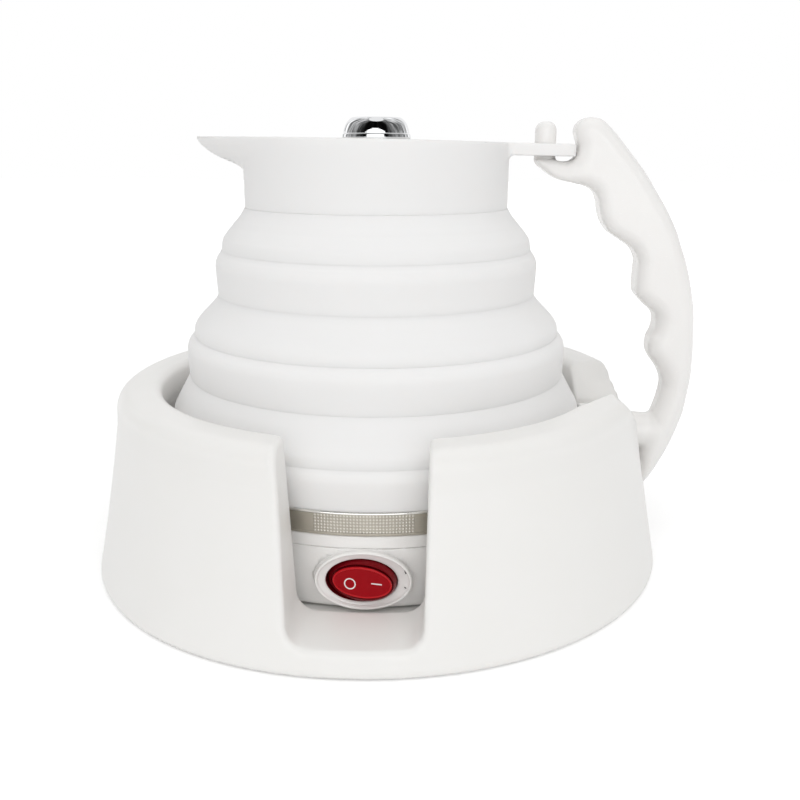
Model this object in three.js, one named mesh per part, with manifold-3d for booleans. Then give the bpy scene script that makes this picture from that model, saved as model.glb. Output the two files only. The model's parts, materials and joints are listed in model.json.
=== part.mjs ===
import * as THREE from "three";
import { mergeVertices } from "three/addons/utils/BufferGeometryUtils.js";
import Module from "manifold-3d";

// Collapsible kettle standing in a ring cradle. Millimetres, +Z up, origin on the table under the cradle.
// The switch faces -Y, the pouring lip points to -X and the handle stands at +X.

// Clearance, overrun of cuts and facets of round pieces
const gap = 0.3;
const overrun = 1;
const ringSteps = 30;
const smallSteps = 16;
const tinySteps = 10;
const ovalSteps = 8;
const cornerSteps = 3;

// Cradle ring
const cradleHeight = 61.8;
const cradleFlare = 10.1;
const rimWidth = 14.8;
const cradleFlareShare = 0.3;
const cradleWall = 2.4;
const cradleLift = 0.5;
const cradleToeRound = 2.2;
const wellClearance = 3;
const wellFloorTop = 5.6;
const wellFloorWall = 2.4;
const rimOuterRound = 6.5;
const rimInnerRound = 3;
const basePlateWall = 2.2;

// Openings of the cradle
const sillHeight = 8;
const slotTopWidth = 42;
const slotBottomWidth = 37;
const slotCorner = 5.5;
const notchTopWidth = 52;
const notchBottomWidth = 36;
const notchSillHeight = 28.5;
const notchCorner = 9;
const cordOpeningWidth = 30;
const cordOpeningTop = 29;
const cordOpeningCorner = 9;

// Screws of the cradle
const cradleScrewCount = 4;
const cradleScrewAngle = 45;
const cradleScrewLength = 12;
const cradleScrewRadius = 1.3;
const cradleScrewHeadRadius = 3.2;
const cradleScrewHeadHeight = 1.6;
const cradleBossWall = 2;
const cradleBossDepth = 14;

// Kettle base
const footPadHeight = 1.1;
const footPadRadius = 5;
const footPadCount = 4;
const footPadInset = 14.6;
const housingRadius = 70.6;
const housingHeight = 19.5;
const housingWall = 2.4;
const housingToe = 3;
const collarHeight = 3.2;
const collarWidth = 7;
const coverWall = 2.2;
const baseScrewCount = 4;
const baseScrewAngle = 45;
const baseScrewRadius = 1.3;
const baseScrewHeadRadius = 2.7;
const baseScrewHeadHeight = 1.4;
const baseScrewLength = 10;
const baseBossWall = 2;
const baseBossHeight = 12;

// Tower that carries the handle
const pivotHeight = 43;
const towerWidth = 25;
const towerWall = 2.2;
const towerReach = 10.6;
const towerBossRadius = 9;
const towerFoot = 2;
const towerSillClearance = 1.2;
const spigotRadius = 3.9;
const spigotGroove = 0.9;
const clipRadius = 5.4;
const clipThickness = 0.8;
const clipInset = 2.5;
const clipMouth = 4;
const frictionWasherThickness = 0.8;

// Steel pan and the hoop that clamps the bellows on it
const hoopProud = 0.3;
const hoopHeight = 7.7;
const hoopWall = 0.7;
const skirtWall = 1.1;
const panWall = 0.7;
const panRise = 11;
const panFloorLift = 1.2;
const panCorner = 2.5;

// Heater under the pan
const spreaderInset = 14.6;
const spreaderThickness = 2.6;
const elementInset = 14;
const elementRadius = 3.2;
const elementSweepAngle = 300;
const elementTailRadius = 1.2;
const elementTailLength = 6;
const elementSteps = 24;
const thermostatRadius = 10.5;
const thermostatCapRadius = 8.5;
const thermostatCapHeight = 2.2;
const thermostatBodyHeight = 5;
const strapLength = 34;
const strapWidth = 8;
const strapWall = 1;
const strapScrewRadius = 1.4;
const strapScrewHeadRadius = 2.6;
const strapScrewHeadHeight = 1.4;
const fuseRadius = 2.2;
const fuseLength = 13;
const fuseOffset = 22;

// Power inlet at the rear
const inletHeight = 16.6;
const inletWidth = 20;
const inletTall = 11;
const inletWall = 1.5;
const inletDepth = 15;
const inletFlange = 1.6;
const inletFlangeRim = 1.8;
const inletPocketDepth = 10;
const inletPinRadius = 1.2;
const inletPinPitch = 8.6;
const inletPinTail = 4;

// Rocker switch at the front
const switchHeight = 16.2;
const bezelWidth = 29.2;
const bezelTall = 18.8;
const bezelThickness = 1.9;
const bezelRound = 0.7;
const rockerWidth = 21.2;
const rockerTall = 13.7;
const rockerClearance = 0.4;
const rockerProud = 4;
const rockerDepth = 6;
const rockerSink = 3.2;
const rockerAngle = 10;
const switchBodyWall = 0.8;
const switchBodyDepth = 16;
const padRise = 0.15;
const tagWidth = 4.8;
const tagThickness = 0.8;
const tagLength = 7;
const tagPitch = 13;

// Leads inside the base
const leadRadius = 1.1;
const leadHeight = 13;
const leadInset = 19.6;
const leadBend = 3.5;
const leadSteps = 12;
const leadPointCount = 6;
const liveLeadAngles = [108, 250];
const neutralLeadAngles = [72, -66];

// Bellows
const footBandProud = 1.4;
const footBandHeight = 12;
const footBandGroove = 0.7;
const lowerBandInset = 6.2;
const lowerBandHeight = 13.7;
const upperBandInset = 10.8;
const upperBandHeight = 14.7;
const bandTopInset = 2.3;
const bandWall = 1.9;
const foldWall = 1.5;
const lowerFoldHeight = 14.1;
const middleFoldHeight = 12.9;
const upperFoldHeight = 13.1;
const neckInset = 10.4;
const neckHeight = 22.7;
const neckWall = 1.9;
const lipReach = 16;
const lipDepth = 10.2;

// Rim tab
const tabThickness = 4;
const tabDrop = 1.4;
const tabWidth = 19;
const tabBeyondPeg = 9.4;
const tabEyeClearance = 0.5;

// Lid
const lidInset = 0.8;
const lidPlate = 3;
const lidSkirtDepth = 9;
const lidSkirtWall = 1.8;
const lidSkirtInset = 1.7;
const lidSealRadius = 0.6;
const lidSealDepth = 4.5;
const lidSealSides = 4;
const knobRadius = 11.5;
const knobTopRadius = 10.2;
const knobHeight = 7.4;
const knobFlange = 1.3;
const knobRound = 2.4;
const knobWaistInset = 1.4;
const knobScrewRadius = 1.6;
const knobScrewHeadRadius = 3.4;
const knobScrewHeadHeight = 1.8;
const knobScrewLength = 4;
const knobWasherRadius = 4.6;
const knobWasherThickness = 0.8;

// Handle
const pegOffset = 12;
const pegRadius = 3.4;
const pegRise = 5.8;
const gripReach = 45.5;
const handleHeadRise = 7.2;
const handleWidth = 20;
const handleHeadWidth = 15;
const handleSteps = 30;
const handleRingSteps = 10;
const headDomeAngles = [0, 30, 60, 80];
const clawRadius = 3.4;
const clawRootRadius = 5;
const clawAngle = 60;
const stubRadius = 6.6;
const stubOuterRadius = 6;

// Outlines, as shares of the sizes that they follow
const bandOutlineShares = [[0, 0.1], [0.3, 0], [0.78, 0.14], [0.93, 0.45], [1, 1]];
const foldOutlineShares = [[0, 0.02], [0.27, 0.06], [0.47, 0.25], [0.76, 0.69], [1, 1]];
const lipOutlineShares = [[0, 0], [0.17, 0.12], [0.53, 0.66], [0.73, 0.83], [1, 1]];
const gripShares = [
  [0.025, 0.907, 0.222, 0.978, 0.7],
  [0.071, 0.833, 0.378, 0.912, 0.75],
  [0.176, 0.766, 0.543, 0.826, 0.8],
  [0.201, 0.713, 0.68, 0.737, 0.87],
  [0.275, 0.654, 0.776, 0.666, 0.92],
  [0.464, 0.592, 0.854, 0.582, 0.97],
  [0.483, 0.528, 0.899, 0.521, 1],
  [0.494, 0.469, 0.938, 0.465, 1],
  [0.645, 0.387, 0.978, 0.381, 1],
  [0.609, 0.303, 0.994, 0.294, 1],
  [0.645, 0.251, 0.999, 0.242, 1],
  [0.729, 0.169, 0.998, 0.169, 0.97],
  [0.691, 0.06, 0.967, 0.056, 0.93],
  [0.657, -0.056, 0.892, -0.056, 0.85],
  [0.653, -0.13, 0.807, -0.132, 0.7],
  [0.68, -0.19, 0.71, -0.193, 0.3],
];
const headBaseShares = [0.163, 0.84];
const headTopShares = [0.112, 0.95];
const clawRootShares = [0.296, 0.83];
const clawBendShares = [0.35, 0.45, 0.3];
const stubReachShare = 0.6;

const wasm = await Module();
wasm.setup();
const { Manifold, Mesh: SolidMesh } = wasm;

const radians = THREE.MathUtils.degToRad;
const lerp = THREE.MathUtils.lerp;

// Heights that follow from the stack of pieces
const seatZ = wellFloorTop + gap;
const housingBottomZ = seatZ + footPadHeight;
const coverBottomZ = housingBottomZ + gap;
const coverTopZ = coverBottomZ + coverWall;
const housingTopZ = housingBottomZ + housingHeight;
const collarBottomZ = housingTopZ + gap;
const collarTopZ = collarBottomZ + collarHeight;
const hoopBottomZ = collarTopZ + gap;
const hoopTopZ = hoopBottomZ + hoopHeight;
const panBottomZ = collarTopZ + panFloorLift;
const footBandBottomZ = hoopTopZ + gap;
const footBandTopZ = footBandBottomZ + footBandHeight;
const lowerFoldBottomZ = footBandTopZ + gap;
const lowerFoldTopZ = lowerFoldBottomZ + lowerFoldHeight;
const lowerBandBottomZ = lowerFoldTopZ + gap;
const lowerBandTopZ = lowerBandBottomZ + lowerBandHeight;
const middleFoldBottomZ = lowerBandTopZ + gap;
const middleFoldTopZ = middleFoldBottomZ + middleFoldHeight;
const upperBandBottomZ = middleFoldTopZ + gap;
const upperBandTopZ = upperBandBottomZ + upperBandHeight;
const upperFoldBottomZ = upperBandTopZ + gap;
const upperFoldTopZ = upperFoldBottomZ + upperFoldHeight;
const neckBottomZ = upperFoldTopZ + gap;
const neckTopZ = neckBottomZ + neckHeight;
const pivotZ = pivotHeight;

// Radii and places that follow from the housing of the kettle's base
const hoopRadius = housingRadius + hoopProud;
const footBandRadius = housingRadius + footBandProud;
const wellRadius = footBandRadius + wellClearance;
const cradleShoulderRadius = wellRadius + rimWidth;
const cradleFootRadius = cradleShoulderRadius + cradleFlare;
const footPadCircle = housingRadius - footPadInset;
const spreaderRadius = housingRadius - spreaderInset;
const elementRingRadius = spreaderRadius - elementInset;
const leadCircle = housingRadius - leadInset;
const lowerBandRadius = footBandRadius - lowerBandInset;
const upperBandRadius = lowerBandRadius - upperBandInset;
const neckRadius = upperBandRadius - neckInset;
const pegX = neckRadius + pegOffset;
const gripStartX = pegX + tabBeyondPeg + gap;
const handleReach = gripStartX + gripReach;

// Solids from three.js geometry
function solidFrom(geometry) {
  const bare = new THREE.BufferGeometry();
  bare.setAttribute("position", geometry.getAttribute("position"));
  bare.setIndex(geometry.getIndex());
  const merged = mergeVertices(bare);
  const places = merged.getAttribute("position").array;
  const corners = merged.getIndex().array;
  const kept = [];
  let volume = 0;
  const [a, b, c] = [new THREE.Vector3(), new THREE.Vector3(), new THREE.Vector3()];
  for (let first = 0; first < corners.length; first += 3) {
    const [i, j, k] = corners.slice(first, first + 3);
    if (i === j || j === k || k === i) continue;
    kept.push(i, j, k);
    volume += a.fromArray(places, i * 3).dot(b.fromArray(places, j * 3).cross(c.fromArray(places, k * 3)));
  }
  if (volume < 0) kept.reverse();
  const mesh = new SolidMesh({
    numProp: 3,
    vertProperties: new Float32Array(places),
    triVerts: new Uint32Array(kept),
  });
  return new Manifold(mesh);
}

function geometryFrom(solid) {
  const mesh = solid.getMesh();
  const geometry = new THREE.BufferGeometry();
  geometry.setAttribute("position", new THREE.BufferAttribute(new Float32Array(mesh.vertProperties), 3));
  geometry.setIndex(new THREE.BufferAttribute(new Uint32Array(mesh.triVerts), 1));
  geometry.computeVertexNormals();
  return geometry;
}

function joined(...solids) {
  return solids.reduce((whole, solid) => whole.add(solid));
}

function without(solid, ...cutters) {
  return cutters.reduce((left, cutter) => left.subtract(cutter), solid);
}

// A profile of [radius, height] points turned round Z, from the axis and back to it
function turned(profile, steps = ringSteps) {
  const points = profile.map(([radius, height]) => new THREE.Vector2(radius, height));
  return solidFrom(new THREE.LatheGeometry(points, steps).rotateX(Math.PI / 2));
}

// A profile that closes on itself, turned round Z
function turnedRing(profile, steps = ringSteps) {
  return turned([...profile, profile[0]], steps);
}

function disc(radius, low, high, steps = ringSteps) {
  return turned([[0, low], [radius, low], [radius, high], [0, high]], steps);
}

function ring(inner, outer, low, high, steps = ringSteps) {
  return turnedRing([[inner, low], [outer, low], [outer, high], [inner, high]], steps);
}

function arcPoints(centreX, centreY, radius, from, to, steps = cornerSteps) {
  return Array.from({ length: steps + 1 }, (_, n) => {
    const angle = radians(lerp(from, to, n / steps));
    return [centreX + radius * Math.cos(angle), centreY + radius * Math.sin(angle)];
  });
}

// A flat outline in a side view, pushed out along a level direction from one distance to another
function pushedOut(shape, azimuth, near, far, curveSegments = cornerSteps) {
  const options = { depth: far - near, bevelEnabled: false, curveSegments };
  const geometry = new THREE.ExtrudeGeometry(shape, options);
  const outward = new THREE.Vector3(Math.cos(radians(azimuth)), Math.sin(radians(azimuth)), 0);
  const up = new THREE.Vector3(0, 0, 1);
  const side = new THREE.Vector3().crossVectors(up, outward);
  const place = new THREE.Matrix4().makeBasis(side, up, outward);
  place.setPosition(outward.multiplyScalar(near));
  return solidFrom(geometry.applyMatrix4(place));
}

// A flat outline in plan, raised from one height to another
function raised(shape, low, high, curveSegments = cornerSteps) {
  const options = { depth: high - low, bevelEnabled: false, curveSegments };
  const geometry = new THREE.ExtrudeGeometry(shape, options);
  return solidFrom(geometry.translate(0, 0, low));
}

function ellipseShape(width, tall, centreY = 0) {
  return new THREE.Shape().absellipse(0, centreY, width / 2, tall / 2, 0, Math.PI * 2);
}

function rectangleShape(left, bottom, right, top) {
  const corners = [[left, bottom], [right, bottom], [right, top], [left, top]];
  return new THREE.Shape(corners.map(([x, y]) => new THREE.Vector2(x, y)));
}

function stadiumShape(width, tall, centreY = 0) {
  const round = tall / 2;
  const run = width / 2 - round;
  const shape = new THREE.Shape();
  shape.absarc(run, centreY, round, -Math.PI / 2, Math.PI / 2);
  shape.absarc(-run, centreY, round, Math.PI / 2, Math.PI * 1.5);
  return shape;
}

// Closed rings of equal length, skinned in order and capped at both ends
function lofted(rings) {
  const count = rings[0].length;
  const places = rings.flat(2);
  const corners = [];
  for (let row = 0; row < rings.length - 1; row++) {
    for (let n = 0; n < count; n++) {
      const here = row * count + n;
      const next = row * count + (n + 1) % count;
      corners.push(here, next, next + count, here, next + count, here + count);
    }
  }
  for (const row of [0, rings.length - 1]) {
    const hub = places.length / 3;
    places.push(...rings[row].reduce((sum, p) => sum.map((v, axis) => v + p[axis] / count), [0, 0, 0]));
    for (let n = 0; n < count; n++) {
      const here = row * count + n;
      const next = row * count + (n + 1) % count;
      corners.push(...(row === 0 ? [next, here, hub] : [here, next, hub]));
    }
  }
  const geometry = new THREE.BufferGeometry();
  geometry.setAttribute("position", new THREE.Float32BufferAttribute(places, 3));
  geometry.setIndex(corners);
  return solidFrom(geometry);
}

// A round bar of one radius along a path, as an extruded circle
function bar(path, radius, steps) {
  const section = new THREE.Shape().absarc(0, 0, radius, 0, Math.PI * 2);
  const options = { steps, bevelEnabled: false, extrudePath: path, curveSegments: cornerSteps };
  return solidFrom(new THREE.ExtrudeGeometry(section, options));
}

// A turned pin laid along X from one place to another, with a radius at each end
function axle(from, to, radius, endRadius = radius, height = pivotZ, steps = smallSteps) {
  const pin = turned([[0, from], [radius, from], [endRadius, to], [0, to]], steps);
  return pin.rotate([0, 90, 0]).translate([0, 0, height]);
}

function at(solid, x, y, z) {
  return solid.translate([x, y, z]);
}

function roundPlace(circle, angle) {
  return [circle * Math.cos(radians(angle)), circle * Math.sin(radians(angle))];
}

function evenAngles(count, first) {
  return Array.from({ length: count }, (_, n) => first + n * 360 / count);
}

// Finishes
const finishes = {
  shell: { color: 0xf4f4f2, roughness: 0.35, metalness: 0 },
  silicone: { color: 0xf1f2f3, roughness: 0.55, metalness: 0 },
  steel: { color: 0xa8a49c, roughness: 0.35, metalness: 1 },
  chrome: { color: 0xd8dadd, roughness: 0.06, metalness: 1 },
  aluminium: { color: 0xb9bcc0, roughness: 0.45, metalness: 1 },
  brass: { color: 0xc2a15a, roughness: 0.35, metalness: 1 },
  red: { color: 0xb30d16, roughness: 0.15, metalness: 0 },
  nylon: { color: 0xe9e7e2, roughness: 0.5, metalness: 0 },
  black: { color: 0x1c1c1d, roughness: 0.55, metalness: 0 },
  lead: { color: 0x8c2a24, roughness: 0.6, metalness: 0 },
};

function piece(group, name, solid, finish) {
  const mesh = new THREE.Mesh(geometryFrom(solid), new THREE.MeshStandardMaterial(finishes[finish]));
  mesh.name = name;
  group.add(mesh);
  return mesh;
}

// Cradle
function cradleRadius(height) {
  const share = 1 - height / (cradleHeight - rimOuterRound);
  const bend = 1 + cradleFlareShare * (share - 1);
  return cradleShoulderRadius + (cradleFootRadius - cradleShoulderRadius) * share * bend;
}

// The flared side between two heights, as profile points drawn in by an inset
function cradleSide(low, high, inset, steps = 5) {
  return Array.from({ length: steps + 1 }, (_, n) => {
    const height = lerp(low, high, n / steps);
    return [cradleRadius(height) - inset, height];
  });
}

const rimOuterZ = cradleHeight - rimOuterRound;
const rimInnerZ = cradleHeight - rimInnerRound;
const rimLandRadius = cradleShoulderRadius - rimOuterRound;

function rimProfile() {
  return [
    ...arcPoints(rimLandRadius, rimOuterZ, rimOuterRound, 0, 90).slice(1),
    ...arcPoints(wellRadius + rimInnerRound, rimInnerZ, rimInnerRound, 90, 180, 3),
  ];
}

function cradleEnvelope() {
  const toe = cradleLift + cradleToeRound;
  return turnedRing([
    [wellRadius, cradleLift],
    [cradleRadius(0) - cradleToeRound, cradleLift],
    ...cradleSide(toe, rimOuterZ, 0),
    ...rimProfile(),
  ]);
}

function cradleSkin() {
  const toe = cradleLift + cradleToeRound;
  const hollowTop = cradleHeight - cradleWall;
  return turned([
    [0, wellFloorTop - wellFloorWall],
    [wellRadius + cradleWall, wellFloorTop - wellFloorWall],
    [wellRadius + cradleWall, hollowTop],
    [rimLandRadius, hollowTop],
    ...cradleSide(cradleLift, rimOuterZ, cradleWall, 2).reverse(),
    [cradleRadius(0) - cradleToeRound, cradleLift],
    ...cradleSide(toe, rimOuterZ, 0),
    ...rimProfile(),
    [wellRadius, wellFloorTop],
    [0, wellFloorTop],
  ]);
}

// An opening in a wall that is open at the top, with slanted sides and round lower corners
function openTopShape(topWidth, bottomWidth, sill, corner, grow) {
  const topHalf = topWidth / 2 + grow;
  const bottomHalf = bottomWidth / 2 + grow;
  const round = corner + grow;
  const low = sill - grow;
  const high = cradleHeight + overrun;
  const shape = new THREE.Shape();
  shape.moveTo(-topHalf, high);
  shape.lineTo(-bottomHalf, low + round);
  shape.quadraticCurveTo(-bottomHalf, low, -bottomHalf + round, low);
  shape.lineTo(bottomHalf - round, low);
  shape.quadraticCurveTo(bottomHalf, low, bottomHalf, low + round);
  shape.lineTo(topHalf, high);
  shape.closePath();
  return shape;
}

function archShape(width, sill, top, corner, grow) {
  const half = width / 2 + grow;
  const round = corner + grow;
  const low = sill - grow;
  const high = top + grow;
  const shape = new THREE.Shape();
  shape.moveTo(-half, low);
  shape.lineTo(half, low);
  shape.lineTo(half, high - round);
  shape.quadraticCurveTo(half, high, half - round, high);
  shape.lineTo(-half + round, high);
  shape.quadraticCurveTo(-half, high, -half, high - round);
  shape.closePath();
  return shape;
}

function cradleOpenings(grow) {
  const near = wellRadius / 2;
  const far = cradleFootRadius + overrun;
  const slot = openTopShape(slotTopWidth, slotBottomWidth, sillHeight, slotCorner, grow);
  const notch = openTopShape(notchTopWidth, notchBottomWidth, notchSillHeight, notchCorner, grow);
  const arch = archShape(cordOpeningWidth, sillHeight, cordOpeningTop, cordOpeningCorner, grow);
  return [pushedOut(slot, -90, near, far), pushedOut(notch, 0, near, far), pushedOut(arch, 90, near, far)];
}

const cradleScrewCircle = wellRadius + cradleWall + cradleScrewRadius + cradleBossWall / 2;

function cradleScrewPlaces() {
  return evenAngles(cradleScrewCount, cradleScrewAngle).map((angle) => roundPlace(cradleScrewCircle, angle));
}

function buildCradle(group) {
  const envelope = cradleEnvelope();
  const jambs = cradleOpenings(cradleWall).map((block) => block.intersect(envelope));
  let shell = joined(cradleSkin(), ...jambs);
  const bossFoot = basePlateWall + gap;
  for (const [x, y] of cradleScrewPlaces()) {
    const boss = disc(cradleScrewRadius + cradleBossWall, bossFoot, bossFoot + cradleBossDepth, tinySteps);
    const pilot = disc(cradleScrewRadius + gap, bossFoot - overrun, bossFoot + cradleScrewLength, tinySteps);
    shell = shell.add(at(boss, x, y, 0)).subtract(at(pilot, x, y, 0));
  }
  piece(group, "cradle_shell", without(shell, ...cradleOpenings(0)), "shell");

  const plateRadius = cradleRadius(cradleLift) - cradleWall - gap - cradleToeRound / 2;
  let plate = disc(plateRadius, 0, basePlateWall);
  const headBottom = gap / 2;
  const headTop = headBottom + cradleScrewHeadHeight;
  const screw = turned([
    [0, headBottom],
    [cradleScrewHeadRadius, headBottom],
    [cradleScrewRadius, headTop],
    [cradleScrewRadius, headTop + cradleScrewLength - cradleScrewHeadHeight],
    [0, headTop + cradleScrewLength - cradleScrewHeadHeight],
  ], tinySteps);
  const sink = turned([
    [0, -overrun],
    [cradleScrewHeadRadius + gap + overrun, -overrun],
    [cradleScrewHeadRadius + gap, headBottom],
    [cradleScrewRadius + gap, headTop],
    [cradleScrewRadius + gap, basePlateWall + overrun],
    [0, basePlateWall + overrun],
  ], tinySteps);
  cradleScrewPlaces().forEach(([x, y], n) => {
    plate = plate.subtract(at(sink, x, y, 0));
    piece(group, `cradle_screw_${n + 1}`, screw, "steel").position.set(x, y, 0);
  });
  piece(group, "cradle_base_plate", plate, "shell");
}

// Kettle base
const towerInnerRadius = Math.max(footBandRadius, hoopRadius, housingRadius) + gap + gap / 2;
const towerOuterRadius = towerInnerRadius + towerWall;
const towerFaceX = towerInnerRadius + towerReach;
const clipPocketX = towerInnerRadius + clipInset + clipThickness + gap;
const baseScrewCircle = housingRadius - housingWall - baseScrewRadius - baseBossWall + gap;
const faceRadius = housingRadius + padRise;

function baseScrewPlaces() {
  return evenAngles(baseScrewCount, baseScrewAngle).map((angle) => roundPlace(baseScrewCircle, angle));
}

// Wall of the handle's tower: a curved foot inside the well and a rounded block that fills the notch
function handleTower() {
  const half = towerWidth / 2;
  const strip = pushedOut(rectangleShape(-half, housingBottomZ + towerFoot, half, pivotZ), 0, 0, towerFaceX);
  const root = ring(housingRadius - housingWall, towerOuterRadius, housingBottomZ + towerFoot, housingTopZ);
  const web = ring(towerInnerRadius, towerOuterRadius, housingBottomZ + towerFoot, pivotZ);
  const block = new THREE.Shape();
  block.moveTo(-half, notchSillHeight + towerSillClearance);
  block.lineTo(half, notchSillHeight + towerSillClearance);
  block.lineTo(towerBossRadius, pivotZ);
  block.absarc(0, pivotZ, towerBossRadius, 0, Math.PI);
  block.closePath();
  const upper = pushedOut(block, 0, towerInnerRadius - towerWall, towerFaceX, ovalSteps);
  const clear = disc(towerInnerRadius, housingTopZ, pivotZ + towerBossRadius + overrun);
  return without(joined(joined(root, web).intersect(strip), upper), clear);
}

function buildHousing(group) {
  const inner = housingRadius - housingWall;
  let housing = turnedRing([
    [inner, housingBottomZ],
    [housingRadius - housingToe, housingBottomZ],
    [housingRadius - housingToe / 4, housingBottomZ + housingToe / 3],
    [housingRadius, housingBottomZ + housingToe],
    [housingRadius, housingTopZ],
    [inner, housingTopZ],
  ]);
  const padStart = inner - housingWall;
  const switchFace = ellipseShape(bezelWidth, bezelTall, switchHeight);
  const switchPad = pushedOut(switchFace, -90, padStart, faceRadius, ovalSteps);
  const inletPad = pushedOut(inletShape(inletFlangeRim), 90, padStart, faceRadius);
  housing = joined(housing, switchPad, inletPad, handleTower());
  for (const [x, y] of baseScrewPlaces()) {
    const bossFootZ = coverTopZ + gap;
    const boss = disc(baseScrewRadius + baseBossWall, bossFootZ, bossFootZ + baseBossHeight, tinySteps);
    const pilot = disc(baseScrewRadius + gap, coverTopZ, coverTopZ + baseScrewLength, tinySteps);
    housing = housing.add(at(boss, x, y, 0)).subtract(at(pilot, x, y, 0));
  }
  const switchHole = ellipseShape(switchBodyWidth() + 2 * gap, switchBodyTall() + 2 * gap, switchHeight);
  const inletHole = inletShape(gap);
  const bore = axle(0, towerFaceX + overrun, spigotRadius + gap);
  const pocket = axle(0, clipPocketX, clipRadius + gap);
  const coverRoom = disc(inner - gap, 0, coverTopZ + gap);
  const half = towerWidth / 2;
  const bossFace = rectangleShape(-half, pivotZ - towerBossRadius, half, pivotZ + towerBossRadius);
  const inwardsOnly = pushedOut(bossFace, 0, inner, towerFaceX + 2 * overrun);
  housing = without(
    housing,
    coverRoom,
    pushedOut(switchHole, -90, 0, faceRadius + overrun, ovalSteps),
    pushedOut(inletHole, 90, 0, faceRadius + overrun),
    joined(bore, pocket).intersect(inwardsOnly),
  );
  piece(group, "base_housing", housing, "shell");
  const collar = ring(housingRadius - collarWidth, housingRadius, collarBottomZ, collarTopZ);
  piece(group, "base_collar", collar, "shell");
}

function buildBaseCover(group) {
  const radius = housingRadius - housingWall - 2 * gap;
  let cover = disc(radius, coverBottomZ, coverTopZ);
  const screw = turned([
    [0, coverBottomZ + gap],
    [baseScrewHeadRadius, coverBottomZ + gap],
    [baseScrewHeadRadius, coverBottomZ + gap + baseScrewHeadHeight],
    [baseScrewRadius, coverBottomZ + gap + baseScrewHeadHeight],
    [baseScrewRadius, coverTopZ + baseScrewLength - gap],
    [0, coverTopZ + baseScrewLength - gap],
  ], tinySteps);
  const sink = turned([
    [0, coverBottomZ - overrun],
    [baseScrewHeadRadius + gap, coverBottomZ - overrun],
    [baseScrewHeadRadius + gap, coverBottomZ + 2 * gap + baseScrewHeadHeight],
    [baseScrewRadius + gap, coverBottomZ + 2 * gap + baseScrewHeadHeight],
    [baseScrewRadius + gap, coverTopZ + overrun],
    [0, coverTopZ + overrun],
  ], tinySteps);
  baseScrewPlaces().forEach(([x, y], n) => {
    cover = cover.subtract(at(sink, x, y, 0));
    piece(group, `base_screw_${n + 1}`, screw, "steel").position.set(x, y, 0);
  });
  const reliefHalf = switchBodyWidth() / 2 + gap;
  const relief = rectangleShape(-reliefHalf, coverBottomZ - overrun, reliefHalf, coverTopZ + overrun);
  const reliefDepth = bezelFrontY - switchBodyDepth - gap;
  piece(group, "base_cover", cover.subtract(pushedOut(relief, -90, reliefDepth, bezelFrontY)), "shell");
  evenAngles(footPadCount, 0).forEach((angle, n) => {
    const [x, y] = roundPlace(footPadCircle, angle);
    const pad = disc(footPadRadius, seatZ, seatZ + footPadHeight, smallSteps);
    piece(group, `base_foot_${n + 1}`, pad, "silicone").position.set(x, y, 0);
  });
}

// Pan, hoop and heater
const skirtOuterRadius = hoopRadius - hoopWall - gap;
const skirtInnerRadius = skirtOuterRadius - skirtWall;
const panRadius = skirtInnerRadius - gap;
const panFloorTopZ = panBottomZ + panWall;
const spreaderTopZ = panBottomZ - gap;
const spreaderBottomZ = spreaderTopZ - spreaderThickness;
const elementZ = spreaderBottomZ - gap - elementRadius;
const thermostatTopZ = spreaderBottomZ - gap;
const thermostatBottomZ = thermostatTopZ - thermostatCapHeight - thermostatBodyHeight;

function buildPan(group) {
  const inner = panRadius - panWall;
  const pan = turned([
    [0, panBottomZ],
    ...arcPoints(panRadius - panCorner, panBottomZ + panCorner, panCorner, -90, 0, 2),
    [panRadius, panBottomZ + panRise],
    [inner, panBottomZ + panRise],
    ...arcPoints(panRadius - panCorner, panBottomZ + panCorner, panCorner - panWall, 0, -90, 2),
    [0, panFloorTopZ],
  ]);
  piece(group, "pan", pan, "steel");
  piece(group, "clamp_hoop", ring(hoopRadius - hoopWall, hoopRadius, hoopBottomZ, hoopTopZ), "steel");
}

// Free ends of the ring element, on either side of the front
function elementEnds() {
  return [-1, 1].map((side) => {
    const angle = -90 + side * (360 - elementSweepAngle) / 2;
    return { side, angle, place: roundPlace(elementRingRadius, angle) };
  });
}

function heatingElement() {
  const [start] = elementEnds().filter((end) => end.side === 1);
  const points = Array.from({ length: elementSteps + 1 }, (_, n) => {
    const [x, y] = roundPlace(elementRingRadius, start.angle + elementSweepAngle * n / elementSteps);
    return new THREE.Vector3(x, y, elementZ);
  });
  const coil = bar(new THREE.CatmullRomCurve3(points), elementRadius, elementSteps);
  const tails = elementEnds().map(({ side, angle, place: [x, y] }) => {
    const tail = disc(elementTailRadius, -overrun, elementTailLength, tinySteps);
    return tail.rotate([0, 90, 0]).rotate([0, 0, angle - side * 90]).translate([x, y, elementZ]);
  });
  return joined(coil, ...tails);
}

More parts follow.
